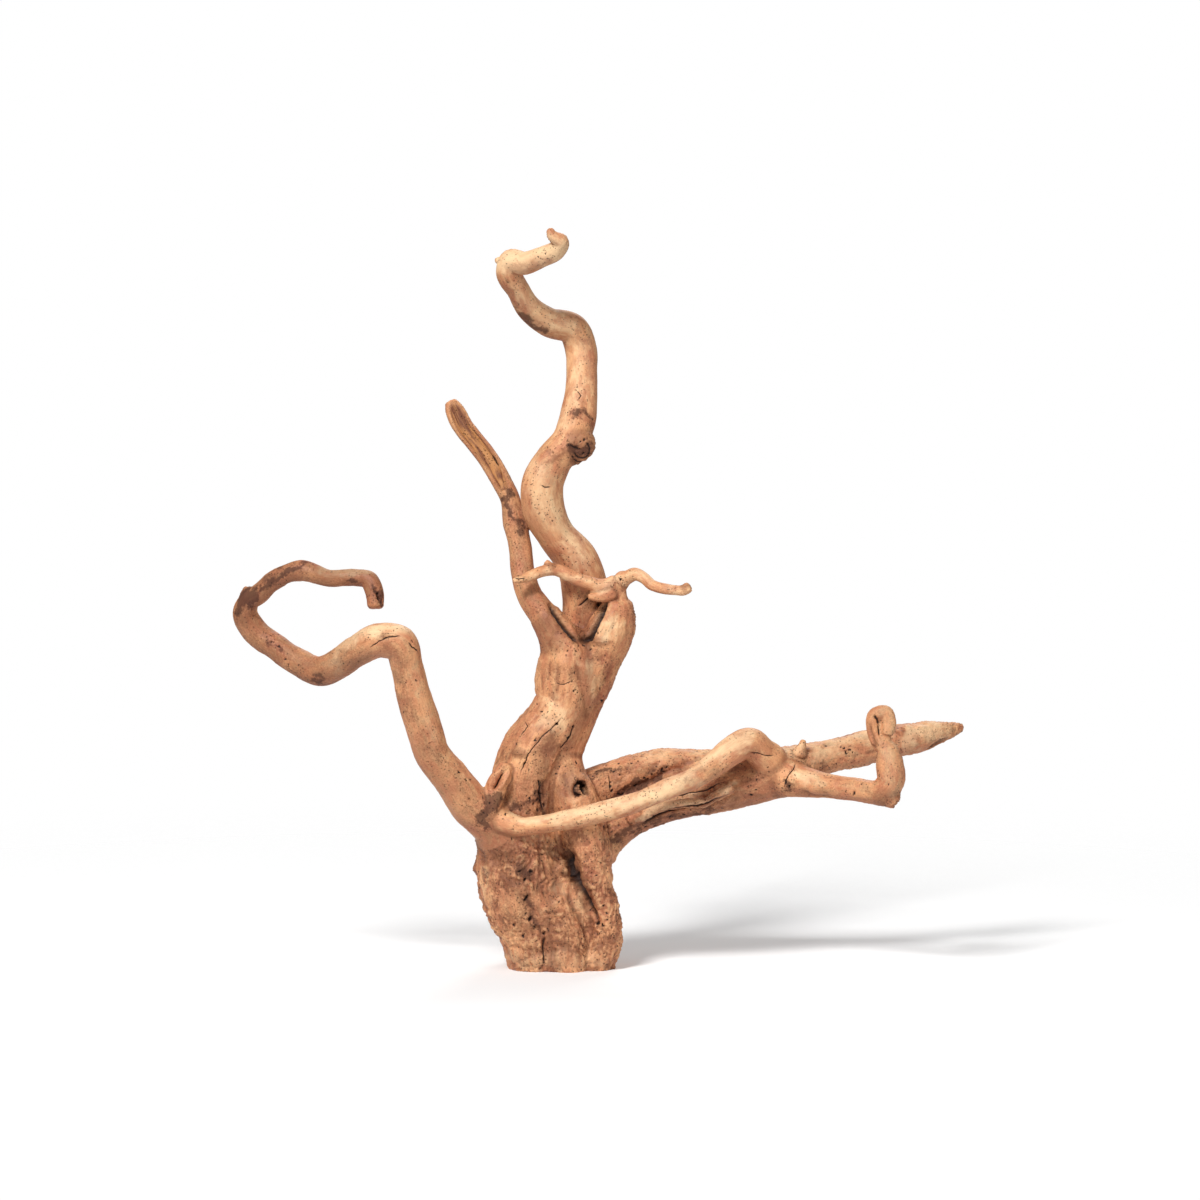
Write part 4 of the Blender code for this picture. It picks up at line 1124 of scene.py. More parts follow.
RIDGES = [  # limbs, half width, height, picture points
    ([TRUNK], 0.0018, 0.0007, [(583, 660), (591, 680), (598, 700)]),
    ([TRUNK], 0.002, 0.0009, [(500, 838), (516, 846), (536, 851), (552, 850)]),
    ([TRUNK], 0.0018, 0.0014, [(555, 850), (562, 862), (569, 879), (581, 902), (592, 918)]),
    ([TRUNK], 0.0011, 0.0012, [(562, 863), (566, 861), (569, 866), (566, 871), (562, 868)]),
    ([TRUNK], 0.0012, 0.0007, [(541, 910), (555, 904), (564, 899)]),
    ([TRUNK], 0.0007, 0.0005, [(560, 752), (553, 764), (546, 778)]),
    ([TRUNK], 0.0026, 0.0008, [(504, 956), (530, 960), (560, 962), (600, 962)]),
    ([HOOK], 0.001, 0.0014, [(488, 788), (494, 778), (502, 769), (508, 768)]),
    ([HOOK], 0.001, 0.0014, [(497, 790), (503, 783), (508, 775), (509, 768)]),
    ([HOOK], 0.0008, 0.0006, [(511, 775), (510, 790), (505, 803)]),
    ([CROOKED], 0.0008, 0.0006, arc(KNOT, 10.3, 180, 320)),
    ([CROOKED], 0.001, 0.0008, arc(KNOT, 14.0, 150, 300)),
    ([FRONT], 0.001, 0.0004, [(641, 799), (650, 801), (660, 796)]),
    ([RIGHT], 0.0007, 0.0005, [(608, 774), (609, 782), (608, 791)]),
]
SWEEPS = [  # fine ridges side by side on the trunk: first start, last start, run, how many
    ((538, 695), (537, 702), (13, 4), 4),
    ((545, 833), (556, 846), (9, 7), 5),
    ((549, 846), (560, 836), (6, -9), 3),
    ((541, 912), (543, 905), (22, -9), 3),
    ((504, 934), (508, 946), (19, -5), 4),
]
for first, last, run, count in SWEEPS:
    RIDGES += [([TRUNK], 0.0006, 0.0004, line) for line in several(first, last, [(0, 0), run], count)]
print(len(GROOVES), "grooves and", len(RIDGES), "ridges")

# %% Carve the cracks
CRACK_REACH = 4.0              # half widths, as far as the material may look
CRACK_DARKNESS = 0.6
skin["crack_side"] = np.full(len(points), 1.0)
skin["crack_reach"] = np.zeros(len(points))


def soft_line(distance, half_width):
    """A bell: 1 on the line and 1 / e at half a width from it."""
    return np.exp(-((distance / half_width) ** 2))


def keep_larger(mask, rows, value):
    """The larger of what a mask holds and the new value."""
    skin[mask][rows] = np.maximum(skin[mask][rows], value)


for parts, half_width, depth, line in CRACKS:
    rows, distance, side, fade = near_line(parts, line)
    groove = soft_line(distance, half_width) * fade
    skin["height"][rows] -= depth * groove
    # Painted shade inside the crack.
    keep_larger("dark", rows, CRACK_DARKNESS * groove)
    reach = fade * smooth_step(CRACK_REACH - distance / half_width, 0.0, 1.0)
    stronger = reach > skin["crack_reach"][rows]
    skin["crack_side"][rows[stronger]] = (side * distance / half_width)[stronger]
    skin["crack_reach"][rows[stronger]] = reach[stronger]
print("cracks reach down to", round(skin["height"].min() * 1000, 2), "mm")

# %% Sink the holes
HOLE_SCATTER = 1.6             # picture points
HOLE_SHRINK = (0.45, 0.85)     # shares of the largest radius
HOLE_EDGE = 1.5                # radii from the middle to where a hole starts
RIM_AT, RIM_WIDTH, RIM_HEIGHT = 1.7, 0.5, 0.12     # radii, radii, share of the depth
chance = np.random.default_rng(7)
for parts, largest_radius, depth, places in HOLES:
    for spot in places:
        spot = np.array(spot) + chance.normal(0.0, HOLE_SCATTER, 2)
        radius = largest_radius * chance.uniform(*HOLE_SHRINK)
        rows, distance, _, fade = near_line(parts, [spot], SHAKE_OF_HOLES)
        dent = smooth_step(1.0 - distance / (HOLE_EDGE * radius), 0.0, 0.8) * fade
        rim = soft_line(distance / radius - RIM_AT, RIM_WIDTH) * fade
        skin["height"][rows] += RIM_HEIGHT * depth * rim - depth * dent
        # Painted shade inside the hole, darkest in its middle.
        keep_larger("dark", rows, dent)
print("holes reach down to", round(skin["height"].min() * 1000, 2), "mm")

# %% Press the grooves and raise the ridges
GROOVE_SHADE, RIDGE_LIGHT = 0.8, 0.8
for parts, half_width, depth, line in GROOVES:
    rows, distance, _, fade = near_line(parts, line)
    dent = soft_line(distance, half_width) * fade
    skin["height"][rows] -= depth * dent
    # Painted shade along each groove.
    keep_larger("crease", rows, GROOVE_SHADE * dent)
for parts, half_width, height, line in RIDGES:
    rows, distance, _, fade = near_line(parts, line)
    raised = soft_line(distance, half_width) * fade
    skin["height"][rows] += height * raised
    # Painted highlight along each ridge.
    skin["cavity"][rows] += RIDGE_LIGHT * raised
print("marks reach down to", round(skin["height"].min() * 1000, 2), "mm")

# %% [markdown]
# ## Stains, bark, painted shade and painted highlights
# Colour that lies in patches is kept as one soft mask for each kind: dark bark that never came off,
# reddish stains, brown patches that are partly stains and partly painted shade, and pale patches that are
# partly wood bleached almost to cream and partly painted highlights. Every mask falls off slowly from its
# middle line, and the material breaks up its edge.

# %% Paint the patches
PATCHES = {  # kind: limbs, radius, strength, picture points of a line through the patch
    "bark": [
        ([HOOK], 0.0042, 1.0, [(238, 613), (243, 603), (250, 593)]),
        ([HOOK], 0.0026, 0.8, [(262, 588), (275, 577), (290, 567), (305, 563)]),
        ([HOOK], 0.002, 0.8, [(352, 580), (357, 583)]),
        ([HOOK], 0.0026, 0.9, [(377, 590), (383, 604)]),
        ([HOOK], 0.0026, 0.7, [(314, 678), (324, 684), (332, 685)]),
        ([HOOK], 0.002, 0.6, [(274, 643), (283, 655)]),
        ([HOOK], 0.004, 1.0, [(496, 797), (488, 810), (481, 824)]),
        ([CROOKED], 0.0036, 0.8, [(523, 318), (532, 322), (543, 329)]),
        ([CROOKED], 0.0014, 0.45, [(497, 270), (502, 282), (512, 300), (520, 311)]),
        ([CROOKED], 0.0036, 0.8, [(574, 450), (586, 448)]),
        ([CROOKED], 0.0022, 0.7, [(577, 416), (584, 411), (592, 418)]),
        ([SPLIT_SPUR], 0.0032, 0.8, [(506, 492), (512, 508), (519, 530)]),
        ([TRUNK, RIGHT], 0.0034, 0.7, [(515, 806), (530, 802), (545, 803)]),
        ([TRUNK], 0.003, 0.7, [(541, 785), (541, 800), (544, 812)]),
        ([RIGHT], 0.0034, 0.6, [(586, 776), (602, 769), (622, 770)]),
        ([RIGHT], 0.0032, 0.8, [(612, 796), (630, 790), (648, 781), (665, 771)]),
        ([RIGHT], 0.003, 0.6, [(640, 828), (660, 822), (690, 815), (712, 810)]),
        ([RIGHT, TRUNK], 0.0026, 0.8, [(612, 846), (622, 836), (632, 830)]),
        ([RIGHT, LOWER_RIGHT], 0.0026, 0.7, [(786, 783), (790, 790)]),
        ([TRUNK], 0.0034, 0.7, [(520, 869), (526, 878), (533, 874)]),
        ([TRUNK], 0.0028, 0.6, [(528, 898), (530, 918), (540, 932)]),
    ],
    "red": [
        ([HOOK], 0.0034, 0.7, [(262, 586), (252, 596), (246, 604)]),
        ([HOOK], 0.003, 0.8, [(296, 563), (312, 562)]),
        ([HOOK], 0.003, 0.7, [(276, 645), (284, 660)]),
        ([HOOK], 0.003, 0.7, [(377, 592), (386, 606)]),
        ([CROOKED], 0.0034, 0.8, [(577, 416), (588, 424)]),
        ([CROOKED], 0.003, 0.7, [(580, 332), (588, 352), (590, 372)]),
        ([CROOKED], 0.0036, 0.6, [(512, 264), (530, 268), (550, 262)]),
        ([TRUNK], 0.0036, 0.8, [(606, 655), (607, 680), (600, 700)]),
        ([TRUNK], 0.0036, 0.8, [(586, 872), (594, 878)]),
        ([HOOK], 0.003, 0.7, [(500, 780), (494, 788)]),
        ([RIGHT], 0.003, 0.8, [(752, 730), (760, 735)]),
        ([TRUNK], 0.006, 0.5, [(600, 900), (612, 925)]),
        ([TRUNK], 0.008, 0.45, [(585, 770), (588, 800)]),
        ([TRUNK], 0.006, 0.5, [(570, 820), (590, 850)]),
        ([RIGHT], 0.004, 0.6, [(700, 800), (712, 795)]),
        ([RIGHT], 0.005, 0.5, [(593, 795), (606, 800)]),
    ],
    # Partly brown stains and partly painted shade: the lower limbs and the stump are painted darker, and so
    # are the notch, the grooves and the wood under the front limb.
    "brown": [
        ([HOOK], 0.01, 0.45, [(470, 815), (488, 830)]),
        ([CROOKED], 0.004, 0.35, [(548, 420), (540, 450), (548, 480)]),
        ([TRUNK], 0.005, 0.5, [(530, 700), (512, 740), (500, 775)]),
        ([SPLIT_SPUR], 0.012, 0.55, [(505, 500), (520, 540), (522, 580), (545, 610)]),
        ([HOOK], 0.012, 0.35, [(400, 650), (420, 720), (455, 790)]),
        ([LOWER_RIGHT], 0.012, 0.35, [(880, 700), (890, 760), (890, 800), (820, 790)]),
        ([RIGHT], 0.014, 0.6, [(630, 830), (690, 815), (760, 800)]),
        ([RIGHT], 0.012, 0.35, [(800, 770), (860, 755), (930, 740)]),
        ([CROOKED, TRUNK], 0.006, 0.8, [(588, 606), (584, 620), (582, 636)]),
        ([SPLIT_SPUR], 0.004, 0.6, [(545, 560), (540, 580), (546, 600)]),
        ([LOWER_RIGHT], 0.006, 0.45, [(866, 790), (880, 800)]),
        ([LOWER_RIGHT], 0.003, 0.6, [(868, 725), (874, 745), (872, 765)]),
        ([TRUNK], 0.024, 0.55, [(520, 870), (530, 930), (560, 945)]),
        ([TRUNK], 0.012, 0.2, [(600, 870), (610, 930), (600, 960)]),
        ([TRUNK], 0.01, 0.7, [(500, 800), (545, 795), (570, 780)]),
        ([TRUNK], 0.003, 0.9, [(572, 862), (578, 880), (590, 903)]),
        ([TRUNK], 0.006, 0.5, [(583, 650), (600, 660), (604, 700)]),
        ([HOOK], 0.014, 0.9, [(245, 600), (270, 582), (310, 565), (350, 578), (380, 585)]),
        ([HOOK], 0.014, 0.8, [(240, 615), (270, 645), (320, 680), (350, 665)]),
        ([RIGHT], 0.014, 0.55, [(590, 790), (640, 800), (700, 800), (770, 785)]),
        ([TRUNK], 0.003, 0.9, [(549, 752), (558, 750)]),
        ([TRUNK], 0.007, 0.7, [(550, 735), (545, 755), (535, 780)]),
        ([TRUNK], 0.006, 0.8, [(490, 860), (505, 858), (520, 862)]),
        ([TRUNK], 0.008, 0.7, [(510, 880), (525, 900), (540, 930)]),
        ([TRUNK], 0.008, 0.8, [(550, 800), (515, 808)]),
        ([TRUNK], 0.006, 0.8, [(572, 850), (577, 875), (588, 897)]),
        ([TRUNK], 0.006, 0.6, [(548, 668), (575, 676)]),
        ([CROOKED], 0.0034, 0.9, [(553, 458), (564, 452)]),
        ([CROOKED], 0.0044, 0.9, [(572, 455), (590, 447)]),
        ([RIGHT], 0.006, 0.6, [(600, 775), (640, 770), (680, 770)]),
        ([RIGHT], 0.006, 0.7, [(640, 825), (690, 812), (740, 800)]),
        ([RIGHT], 0.004, 0.6, [(690, 795), (730, 778), (740, 775)]),
        ([HOOK], 0.007, 0.6, [(240, 600), (270, 580), (310, 565), (350, 575)]),
        ([HOOK], 0.005, 0.6, [(250, 630), (280, 650), (310, 675)]),
        ([HOOK], 0.004, 0.6, [(385, 640), (398, 660), (402, 690), (410, 720)]),
        ([HOOK], 0.005, 0.5, [(425, 735), (445, 765), (470, 800)]),
        ([SPLIT_SPUR], 0.005, 0.6, [(505, 490), (515, 515), (525, 545)]),
        ([LOWER_RIGHT], 0.004, 0.6, [(786, 785), (810, 796)]),
        ([FRONT], 0.005, 0.5, [(690, 780), (715, 770)]),
    ],
    # Partly wood bleached to cream and partly painted highlights: on the top of the crooked limb, the bulge
    # of the trunk, the top of the front limb and the ledge of the base.
    "pale": [
        ([TWIGS], 0.004, 0.6, [(505, 583), (560, 575), (600, 590), (640, 570), (690, 598)]),
        ([RIGHT], 0.0026, 0.9, [(640, 817), (666, 804), (704, 798), (723, 790), (735, 784)]),
        ([RIGHT], 0.009, 0.6, [(640, 748), (690, 744), (730, 752)]),
        ([CROOKED], 0.008, 0.6, [(520, 290), (540, 315), (575, 330), (580, 380)]),
        ([CROOKED], 0.01, 1.0, [(505, 258), (530, 255), (556, 250)]),
        ([CROOKED], 0.006, 0.7, [(545, 320), (575, 325)]),
        ([CROOKED], 0.009, 0.7, [(535, 470), (545, 500), (565, 530), (580, 560)]),
        ([CROOKED], 0.006, 0.6, [(578, 390), (572, 410), (562, 425)]),
        ([TRUNK], 0.008, 0.7, [(553, 706), (560, 714), (545, 722)]),
        ([TRUNK], 0.004, 0.5, [(583, 660), (592, 685), (598, 700)]),
        ([TRUNK], 0.005, 0.7, [(604, 635), (612, 622)]),
        ([TRUNK], 0.006, 0.4, [(525, 838), (545, 842), (556, 852)]),
        ([TRUNK], 0.006, 0.45, [(556, 890), (570, 900), (580, 915)]),
        ([TRUNK], 0.007, 0.5, [(582, 775), (575, 800)]),
        ([HOOK], 0.005, 0.8, [(342, 640), (336, 665)]),
        ([HOOK], 0.005, 0.9, [(352, 635), (375, 628), (405, 628)]),
        ([HOOK], 0.004, 0.4, [(412, 660), (420, 700), (440, 740), (470, 775), (488, 790)]),
        ([HOOK], 0.003, 0.9, [(319, 566), (340, 571), (370, 573)]),
        ([FRONT], 0.006, 0.9, [(520, 814), (560, 815), (600, 808), (650, 795), (690, 775)]),
        ([FRONT], 0.007, 0.8, [(700, 762), (730, 742), (745, 733)]),
        ([LOWER_RIGHT], 0.005, 0.8, [(795, 772), (812, 778)]),
        ([RIGHT], 0.006, 0.7, [(780, 750), (795, 748)]),
        ([RIGHT], 0.007, 0.7, [(815, 755), (850, 738), (880, 730)]),
        ([RIGHT], 0.006, 0.8, [(905, 740), (940, 728)]),
        ([LOWER_RIGHT], 0.006, 0.45, [(885, 720), (893, 755), (893, 790)]),
        ([TRUNK], 0.004, 0.4, [(478, 868), (484, 888)]),
        ([TRUNK], 0.003, 0.4, [(541, 912), (564, 899)]),
        ([TRUNK], 0.006, 0.5, [(504, 958), (540, 962), (600, 962)]),
    ],
}
PATCH_FALL = 0.8               # how fast a patch thins out with its distance
for kind, patches in PATCHES.items():
    skin[kind] = np.zeros(len(points))
    for parts, radius, strength, line in patches:
        rows, distance, _, _ = near_line(parts, line, SHAKE_OF_PATCHES)
        cover = strength * np.exp(-PATCH_FALL * (distance / radius) ** 2)
        keep_larger(kind, rows, cover * turned_here[rows])
print({kind: int((skin[kind] > 0.5).sum()) for kind in PATCHES})

# %% [markdown]
# ## Pieces of skin
# The whole skin is too fine for one mesh, so it is shared out at four flat cuts across the limbs. The cuts
# on the left and the right stop at a height, so that the spur's tip and the right twig stay whole. Both
# sides of a cut keep the same points and the same normals, so the join can't be seen, and each cut is
# closed inside the wood.

# %% Move the skin and share it out
LARGEST_PIECE = 200000         # triangles
TOP_CUT = 0.1945
LEFT_CUT = -0.0520
LEFT_CUT_TOP = 0.2400
RIGHT_CUT = 0.0450
RIGHT_CUT_TOP = 0.1700
STUMP_CUT = 0.0760

on_floor = points[:, 2] < ABOVE_FLOOR
push = skin["height"][:, None] * facing
push[on_floor, 2] = 0.0
points = points + push
points[~on_floor, 2] = np.maximum(points[~on_floor, 2], ABOVE_FLOOR)
skin_mesh.vertices.foreach_set("co", points.ravel())
skin_mesh.update()
normals = np.empty(len(points) * 3)
skin_mesh.vertex_normals.foreach_get("vector", normals)
normals = normals.reshape(-1, 3)

face_starts = np.empty(len(skin_mesh.polygons), int)
face_sizes = np.empty(len(skin_mesh.polygons), int)
corners = np.empty(len(skin_mesh.loops), int)
skin_mesh.polygons.foreach_get("loop_start", face_starts)
skin_mesh.polygons.foreach_get("loop_total", face_sizes)
skin_mesh.loops.foreach_get("vertex_index", corners)
middles = np.add.reduceat(points[corners], face_starts, axis=0) / face_sizes[:, None]
at_left = (middles[:, 0] < LEFT_CUT) & (middles[:, 2] < LEFT_CUT_TOP)
at_right = (middles[:, 0] > RIGHT_CUT) & (middles[:, 2] < RIGHT_CUT_TOP)
region = np.select(
    [at_left, at_right, middles[:, 2] > TOP_CUT, middles[:, 2] < STUMP_CUT],
    [2, 3, 1, 4], default=0
)
REGION_NAMES = ("trunk", "crooked_limb_spur_and_twigs", "hook_limb", "side_limb", "stump")
SHARED = (
    "gnarled", "underside", "dark", "gold", "crease", "cavity", "crack_side", "crack_reach",
    "bark", "red", "brown", "pale",
)


def piece_of_skin(name, number):
    """One region's faces as a closed mesh of its own, with the normals and masks of the whole skin."""
    faces = np.flatnonzero(region == number)
    loops = np.concatenate([np.arange(s, s + n) for s, n in zip(face_starts[faces], face_sizes[faces])])
    kept, local = np.unique(corners[loops], return_inverse=True)
    ends = np.cumsum(face_sizes[faces])
    polygons = np.split(local, ends[:-1])
    mesh = bpy.data.meshes.new(name)
    mesh.from_pydata(points[kept].tolist(), [], [polygon.tolist() for polygon in polygons])
    shape = bmesh.new()
    shape.from_mesh(mesh)
    bmesh.ops.holes_fill(shape, edges=[edge for edge in shape.edges if edge.is_boundary])
    shape.to_mesh(mesh)
    shape.free()
    mesh.shade_smooth()
    mesh.normals_split_custom_set_from_vertices(normals[kept].tolist())
    for mask in SHARED:
        values = mesh.attributes.new(mask, "FLOAT", "POINT")
        values.data.foreach_set("value", skin[mask][kept].astype(np.float32))
    grain = mesh.attributes.new("grain", "FLOAT_VECTOR", "POINT")
    grain.data.foreach_set("vector", skin["grain"][kept].astype(np.float32).ravel())
    piece = bpy.data.objects.new(name, mesh)
    bpy.context.scene.collection.objects.link(piece)
    print(name, "has", int((face_sizes[faces] - 2).sum()), "of at most", LARGEST_PIECE, "triangles")
    return piece


pieces = [piece_of_skin(name, number) for number, name in enumerate(REGION_NAMES)]
bpy.data.meshes.remove(skin_mesh)

# %% [markdown]
# ## The bare wood
# Weathered root wood is tan, with salmon and honey coloured clouds, thin streaks along the grain, small
# dark pits, and a dull sheen on the smooth places. All of it comes from noise: in the object's own space
# for the clouds, and in the space of the grain for the streaks. Shader sums are written as plain sums
# through a small class.

# %% Write shader sums as plain sums
class Value:
    """A number in a material. A sum or product written with it adds a Math node."""

    def __init__(self, recipe, socket):
        self.recipe = recipe
        self.socket = socket

    def worked(self, operation, first, second):
        """What the Math node makes of two numbers or links."""
        return self.recipe.node("ShaderNodeMath", {"operation": operation}, {0: first, 1: second})

    def __add__(self, other):
        return self.worked("ADD", self, other)

    def __sub__(self, other):
        return self.worked("SUBTRACT", self, other)

    def __rsub__(self, other):
        return self.worked("SUBTRACT", other, self)

    def __mul__(self, other):
        return self.worked("MULTIPLY", self, other)

    def __abs__(self):
        return self.worked("ABSOLUTE", self, 0.0)

    __radd__ = __add__
    __rmul__ = __mul__


class Recipe:
    """Adds nodes to one material."""

    def __init__(self, name):
        self.material = bpy.data.materials.new(name)
        self.material.use_nodes = True
        self.tree = self.material.node_tree
        self.shader = self.tree.nodes["Principled BSDF"]

    def node(self, kind, settings, inputs, output=0):
        """A node of that kind, with its settings made first and its sockets then set or linked."""
        made = self.tree.nodes.new(kind)
        for name, value in settings.items():
            setattr(made, name, value)
        for name, value in inputs.items():
            self.put(made.inputs[name], value)
        return Value(self, made.outputs[output])

    def put(self, socket, value):
        """Links a value that comes from a node, and writes any other straight on the socket."""
        if isinstance(value, Value):
            self.tree.links.new(value.socket, socket)
        else:
            socket.default_value = value

    def noise(self, where, size, detail=2.0, roughness=0.5):
        """Smooth random clouds of the given size in metres."""
        inputs = {"Vector": where, "Scale": 1.0 / size, "Detail": detail, "Roughness": roughness}
        return self.node("ShaderNodeTexNoise", {}, inputs)

    def step(self, value, low, high, start=0.0, end=1.0):
        """Runs smoothly from start to end while value runs from low to high."""
        settings = {"interpolation_type": "SMOOTHSTEP"}
        return self.node("ShaderNodeMapRange", settings, {0: value, 1: low, 2: high, 3: start, 4: end})

    def dots(self, where, size):
        """Distance to the nearest of many scattered points, in shares of the size."""
        inputs = {"Vector": where, "Scale": 1.0 / size}
        return self.node("ShaderNodeTexVoronoi", {}, inputs, output="Distance")

    def mix(self, share, first, second):
        """The Mix node has a set of sockets for each kind of value: 6, 7 and output 2 are its colours."""
        return self.node("ShaderNodeMix", {"data_type": "RGBA"}, {0: share, 6: first, 7: second}, output=2)

    def over(self, colour, paint, value, low, high, most=1.0):
        """Lays paint over a colour: none where value is at low, and the share most where it is at high."""
        return self.mix(self.step(value, low, high) * most, colour, paint)

    def mask(self, name):
        """A mask that the skin's points carry."""
        return self.node("ShaderNodeAttribute", {"attribute_name": name}, {}, output="Fac")

    def stretched(self, where, x, y, z):
        """A place times one number for each direction."""
        return self.node("ShaderNodeVectorMath", {"operation": "MULTIPLY"}, {0: where, 1: (x, y, z)})


def screen(red, green, blue):
    """The shader's colour for a colour as a screen shows it, with each part from 0 to 255."""
    parts = np.array((red, green, blue)) / 255.0
    return (*np.where(parts < 0.04045, parts / 12.92, ((parts + 0.055) / 1.055) ** 2.4), 1.0)


TAN = screen(220, 158, 111)
print("tan is", tuple(round(float(part), 3) for part in TAN))

# %% [markdown]
# ## Colour, sheen and fine grain
# The clouds come first, then the streaks, then painted light on what sticks out and painted shade on
# what lies deeper, in the creases and on wood that faces down, and last the stains with their painted
# shade and highlights, bark, cracks and pits, each over what is below it. Every layer is a line of a
# table: the paint, what it follows, where that starts and where it is full, and how much of the paint
# there is at most.

# %% Mix the paints and the noises
HONEY = screen(240, 190, 138)
SALMON = screen(196, 128, 91)
SHADE_BROWN = screen(144, 84, 55)
DEEP_BROWN = screen(110, 62, 39)
PIT_BROWN = screen(44, 23, 15)
BARK_BROWN = screen(98, 58, 42)
RED_BROWN = screen(146, 70, 50)
CREAM = screen(252, 218, 172)
GOLD = screen(188, 130, 78)
STREAK_STRETCH, MOTTLE_STRETCH = 0.10, 0.45  # the grain's length is squeezed by this, which draws noise out


def wood_noises(wood):
    """The noises that the finish is mixed from, by name. The first three run with the grain."""
    place = wood.node("ShaderNodeTexCoord", {}, {}, output="Object")
    grain = wood.node("ShaderNodeAttribute", {"attribute_name": "grain"}, {}, output="Vector")
    along = wood.stretched(grain, 1.0, 1.0, STREAK_STRETCH)
    blotched = wood.stretched(grain, 1.0, 1.0, MOTTLE_STRETCH)
    return {
        "streak": wood.noise(along, 0.0016, detail=3.0),
        "fine_streak": wood.noise(along, 0.0006),
        "mottle": wood.noise(blotched, 0.0034, detail=3.0, roughness=0.6),
        "cloud": wood.noise(place, 0.016, detail=3.0),
        "coarse": wood.noise(place, 0.0065, detail=4.0, roughness=0.65),
        "crumbs": wood.noise(place, 0.0021, detail=4.0, roughness=0.65),
        "grit": wood.noise(place, 0.0009),
        "crowd": wood.noise(place, 0.0090),
        "large_dots": wood.dots(place, 0.0030),
        "small_dots": wood.dots(place, 0.0016),
    }


print("the clouds run from", [round(float(part), 2) for part in SALMON[:3]], "to tan")

# %% Lay the colours of growth
CLOUD_LAYERS = [  # paint, noise, where it starts, where it is full, share
    (HONEY, "mottle", 0.45, 0.66, 0.60),
    (SALMON, "streak", 0.46, 0.66, 0.28),
    (SHADE_BROWN, "fine_streak", 0.54, 0.70, 0.30),
    (DEEP_BROWN, "grit", 0.58, 0.72, 0.30),
    (HONEY, "grit", 0.42, 0.30, 0.25),
]


def growth_colour(wood, noises, gnarled):
    """Salmon to tan clouds, lighter and darker streaks, and crumbs of dark and light on gnarled wood."""
    mottle, fine_streak = noises["mottle"], noises["fine_streak"]
    coarse, crumbs = noises["coarse"], noises["crumbs"]
    colour = wood.mix(wood.step(noises["cloud"], 0.36, 0.64), SALMON, TAN)
    for paint, name, low, high, share in CLOUD_LAYERS:
        colour = wood.over(colour, paint, noises[name], low, high, share)
    colour = wood.over(colour, SHADE_BROWN, mottle + fine_streak * 0.4, 0.62, 0.48, 0.42)
    colour = wood.over(colour, SHADE_BROWN, gnarled + (coarse - 0.5) * 1.2, 0.2, 1.1, 0.38)
    colour = wood.over(colour, DEEP_BROWN, crumbs + gnarled * 0.10, 0.55, 0.72, gnarled * 0.55)
    return wood.over(colour, HONEY, crumbs, 0.46, 0.34, gnarled * 0.25)


print(len(CLOUD_LAYERS), "layers of clouds and streaks")

# %% Shade the relief and lay the stains
# Painted light and shade: lighter where the relief is raised, darker in hollows, in creases and on wood
# that faces down.
RELIEF_LIGHT_AND_SHADE_LAYERS = [  # paint, mask, how much the mottle shifts it, where it starts, where it is full, share
    (HONEY, "cavity", 0.0, 0.2, 2.0, 0.45),
    (DEEP_BROWN, "cavity", 0.0, -0.1, -1.6, 0.60),
    (SHADE_BROWN, "underside", 0.4, 0.3, 1.2, 0.50),
    (DEEP_BROWN, "crease", 0.4, 0.5, 1.3, 0.55),
]
# The pale and brown masks are partly painted highlight and painted shade.
STAINS_AND_PAINTED_LIGHT = [  # paint, mask, how ragged its edge is, where it starts, where it is full, share
    (CREAM, "pale", 0.5, 0.20, 1.10, 0.70),
    (DEEP_BROWN, "brown", 0.8, 0.10, 0.95, 0.66),
    (RED_BROWN, "red", 1.0, 0.20, 0.90, 0.50),
]


def painted_light_and_stain_colour(wood, noises, ragged, colour):
    """Painted highlights on ridges and painted shade in hollows, creases and on wood that faces down, then
    the stains with their painted shade and highlights, and the bare split face over them.
    """
    for paint, name, shift, low, high, share in RELIEF_LIGHT_AND_SHADE_LAYERS:
        colour = wood.over(colour, paint, wood.mask(name) + noises["mottle"] * shift, low, high, share)
    for paint, name, raggedness, low, high, share in STAINS_AND_PAINTED_LIGHT:
        colour = wood.over(colour, paint, wood.mask(name) + ragged * raggedness, low, high, share)
    split_face = wood.mix(wood.step(noises["streak"], 0.35, 0.65), GOLD, DEEP_BROWN)
    return wood.mix(wood.mask("gold"), colour, split_face)


print(len(STAINS_AND_PAINTED_LIGHT), "kinds of stain")

# %% Draw bark, specks, cracks and pits
BARK_COVER, SPECK_COVER, LINE_COVER = 0.80, 0.75, 0.9


def bark_specks_and_lines(wood, noises, gnarled, ragged):
    """Three masks: where bark is left, where insects bored, and the thin line of painted shade inside each
    crack.
    """
    bark = wood.step(wood.mask("bark") + ragged * 0.6, 0.30, 0.75)
    crowd = noises["crowd"] + gnarled * 0.12
    uneven = (noises["grit"] - 0.5) * 0.35
    speck = wood.step(noises["large_dots"] + uneven, 0.20, 0.08) * wood.step(crowd, 0.50, 0.62)
    small = wood.step(noises["small_dots"] + uneven, 0.28, 0.14) * wood.step(crowd, 0.42, 0.58)
    line = wood.step(abs(wood.mask("crack_side")), 1.0, 0.25) * wood.mask("crack_reach")
    return bark, speck + small * 0.8, line


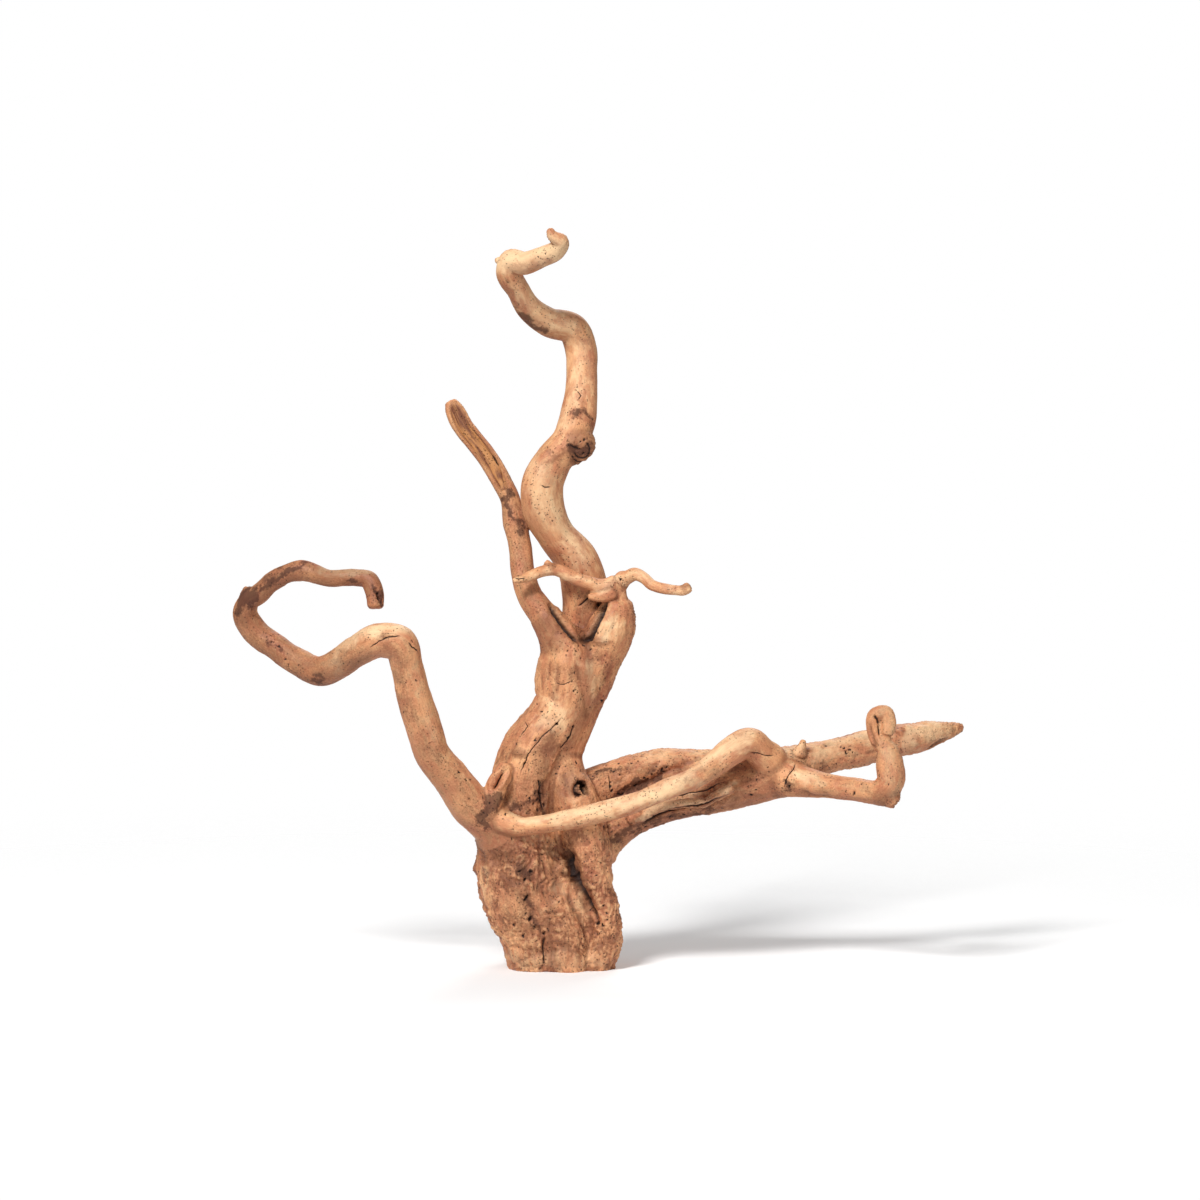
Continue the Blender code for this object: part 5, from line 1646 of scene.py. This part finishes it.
def marked_colour(wood, noises, colour, bark, speck, line):
    """The marks over the wood, bark first and the cracks last."""
    colour = wood.mix(bark * BARK_COVER, colour, wood.mix(noises["streak"], BARK_BROWN, PIT_BROWN))
    colour = wood.mix(speck * SPECK_COVER, colour, PIT_BROWN)
    # Dark pits, and painted shade inside the holes, cracks and hollows; last the thin painted shade line of
    # each crack.
    colour = wood.over(colour, PIT_BROWN, wood.mask("dark") + noises["grit"] * 0.25, 0.22, 0.85)
    return wood.mix(line * LINE_COVER, colour, PIT_BROWN)


print("bark covers", BARK_COVER, "of the wood under it")

# %% [markdown]
# ## The finished wood
# Smooth places shine a little and bark is dull. The bump holds only what is finer than the skin's
# squares: streaks, grit, crumbs, specks and the thin lines of the cracks.

# %% Put the finish together
SHINE, DULLNESS = 0.52, 0.66   # roughness where the wood is smoothest and where it is dullest
BARK_DULLNESS = 0.15           # more roughness on bark
BUMP_DEPTH = 0.0006
BUMP_STRENGTH = 0.8
GLOSS = 0.35


def bump_height(noises, gnarled, speck, line):
    """Fine grain, with crumbs where the wood is gnarled, less the specks and the cracks."""
    fine = noises["streak"] * 0.40 + noises["fine_streak"] * 0.35 + noises["grit"] * 0.20
    return fine + noises["crumbs"] * (0.25 + gnarled * 1.1) - speck * 0.8 - line * 0.9


def bare_wood():
    """The whole finish as one material."""
    wood = Recipe("bare_wood")
    noises = wood_noises(wood)
    gnarled = wood.mask("gnarled")
    ragged = (noises["mottle"] - 0.5) * 1.6 + (noises["grit"] - 0.5) * 0.8
    colour = growth_colour(wood, noises, gnarled)
    colour = painted_light_and_stain_colour(wood, noises, ragged, colour)
    bark, speck, line = bark_specks_and_lines(wood, noises, gnarled, ragged)
    colour = marked_colour(wood, noises, colour, bark, speck, line)
    rough = wood.step(noises["mottle"], 0.3, 0.7, SHINE, DULLNESS) + bark * BARK_DULLNESS
    height = bump_height(noises, gnarled, speck, line)
    bumps = {"Strength": BUMP_STRENGTH, "Distance": BUMP_DEPTH, "Height": height}
    wood.put(wood.shader.inputs["Base Color"], colour)
    wood.put(wood.shader.inputs["Roughness"], rough)
    wood.put(wood.shader.inputs["Normal"], wood.node("ShaderNodeBump", {}, bumps, output="Normal"))
    wood.put(wood.shader.inputs["Metallic"], 0.0)
    wood.put(wood.shader.inputs["Specular IOR Level"], GLOSS)
    return wood.material


finish = bare_wood()
for piece in pieces:
    piece.data.materials.append(finish)
    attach(piece, "root")
    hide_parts("driftwood")
print("the wood's recipe has", len(finish.node_tree.nodes), "nodes")
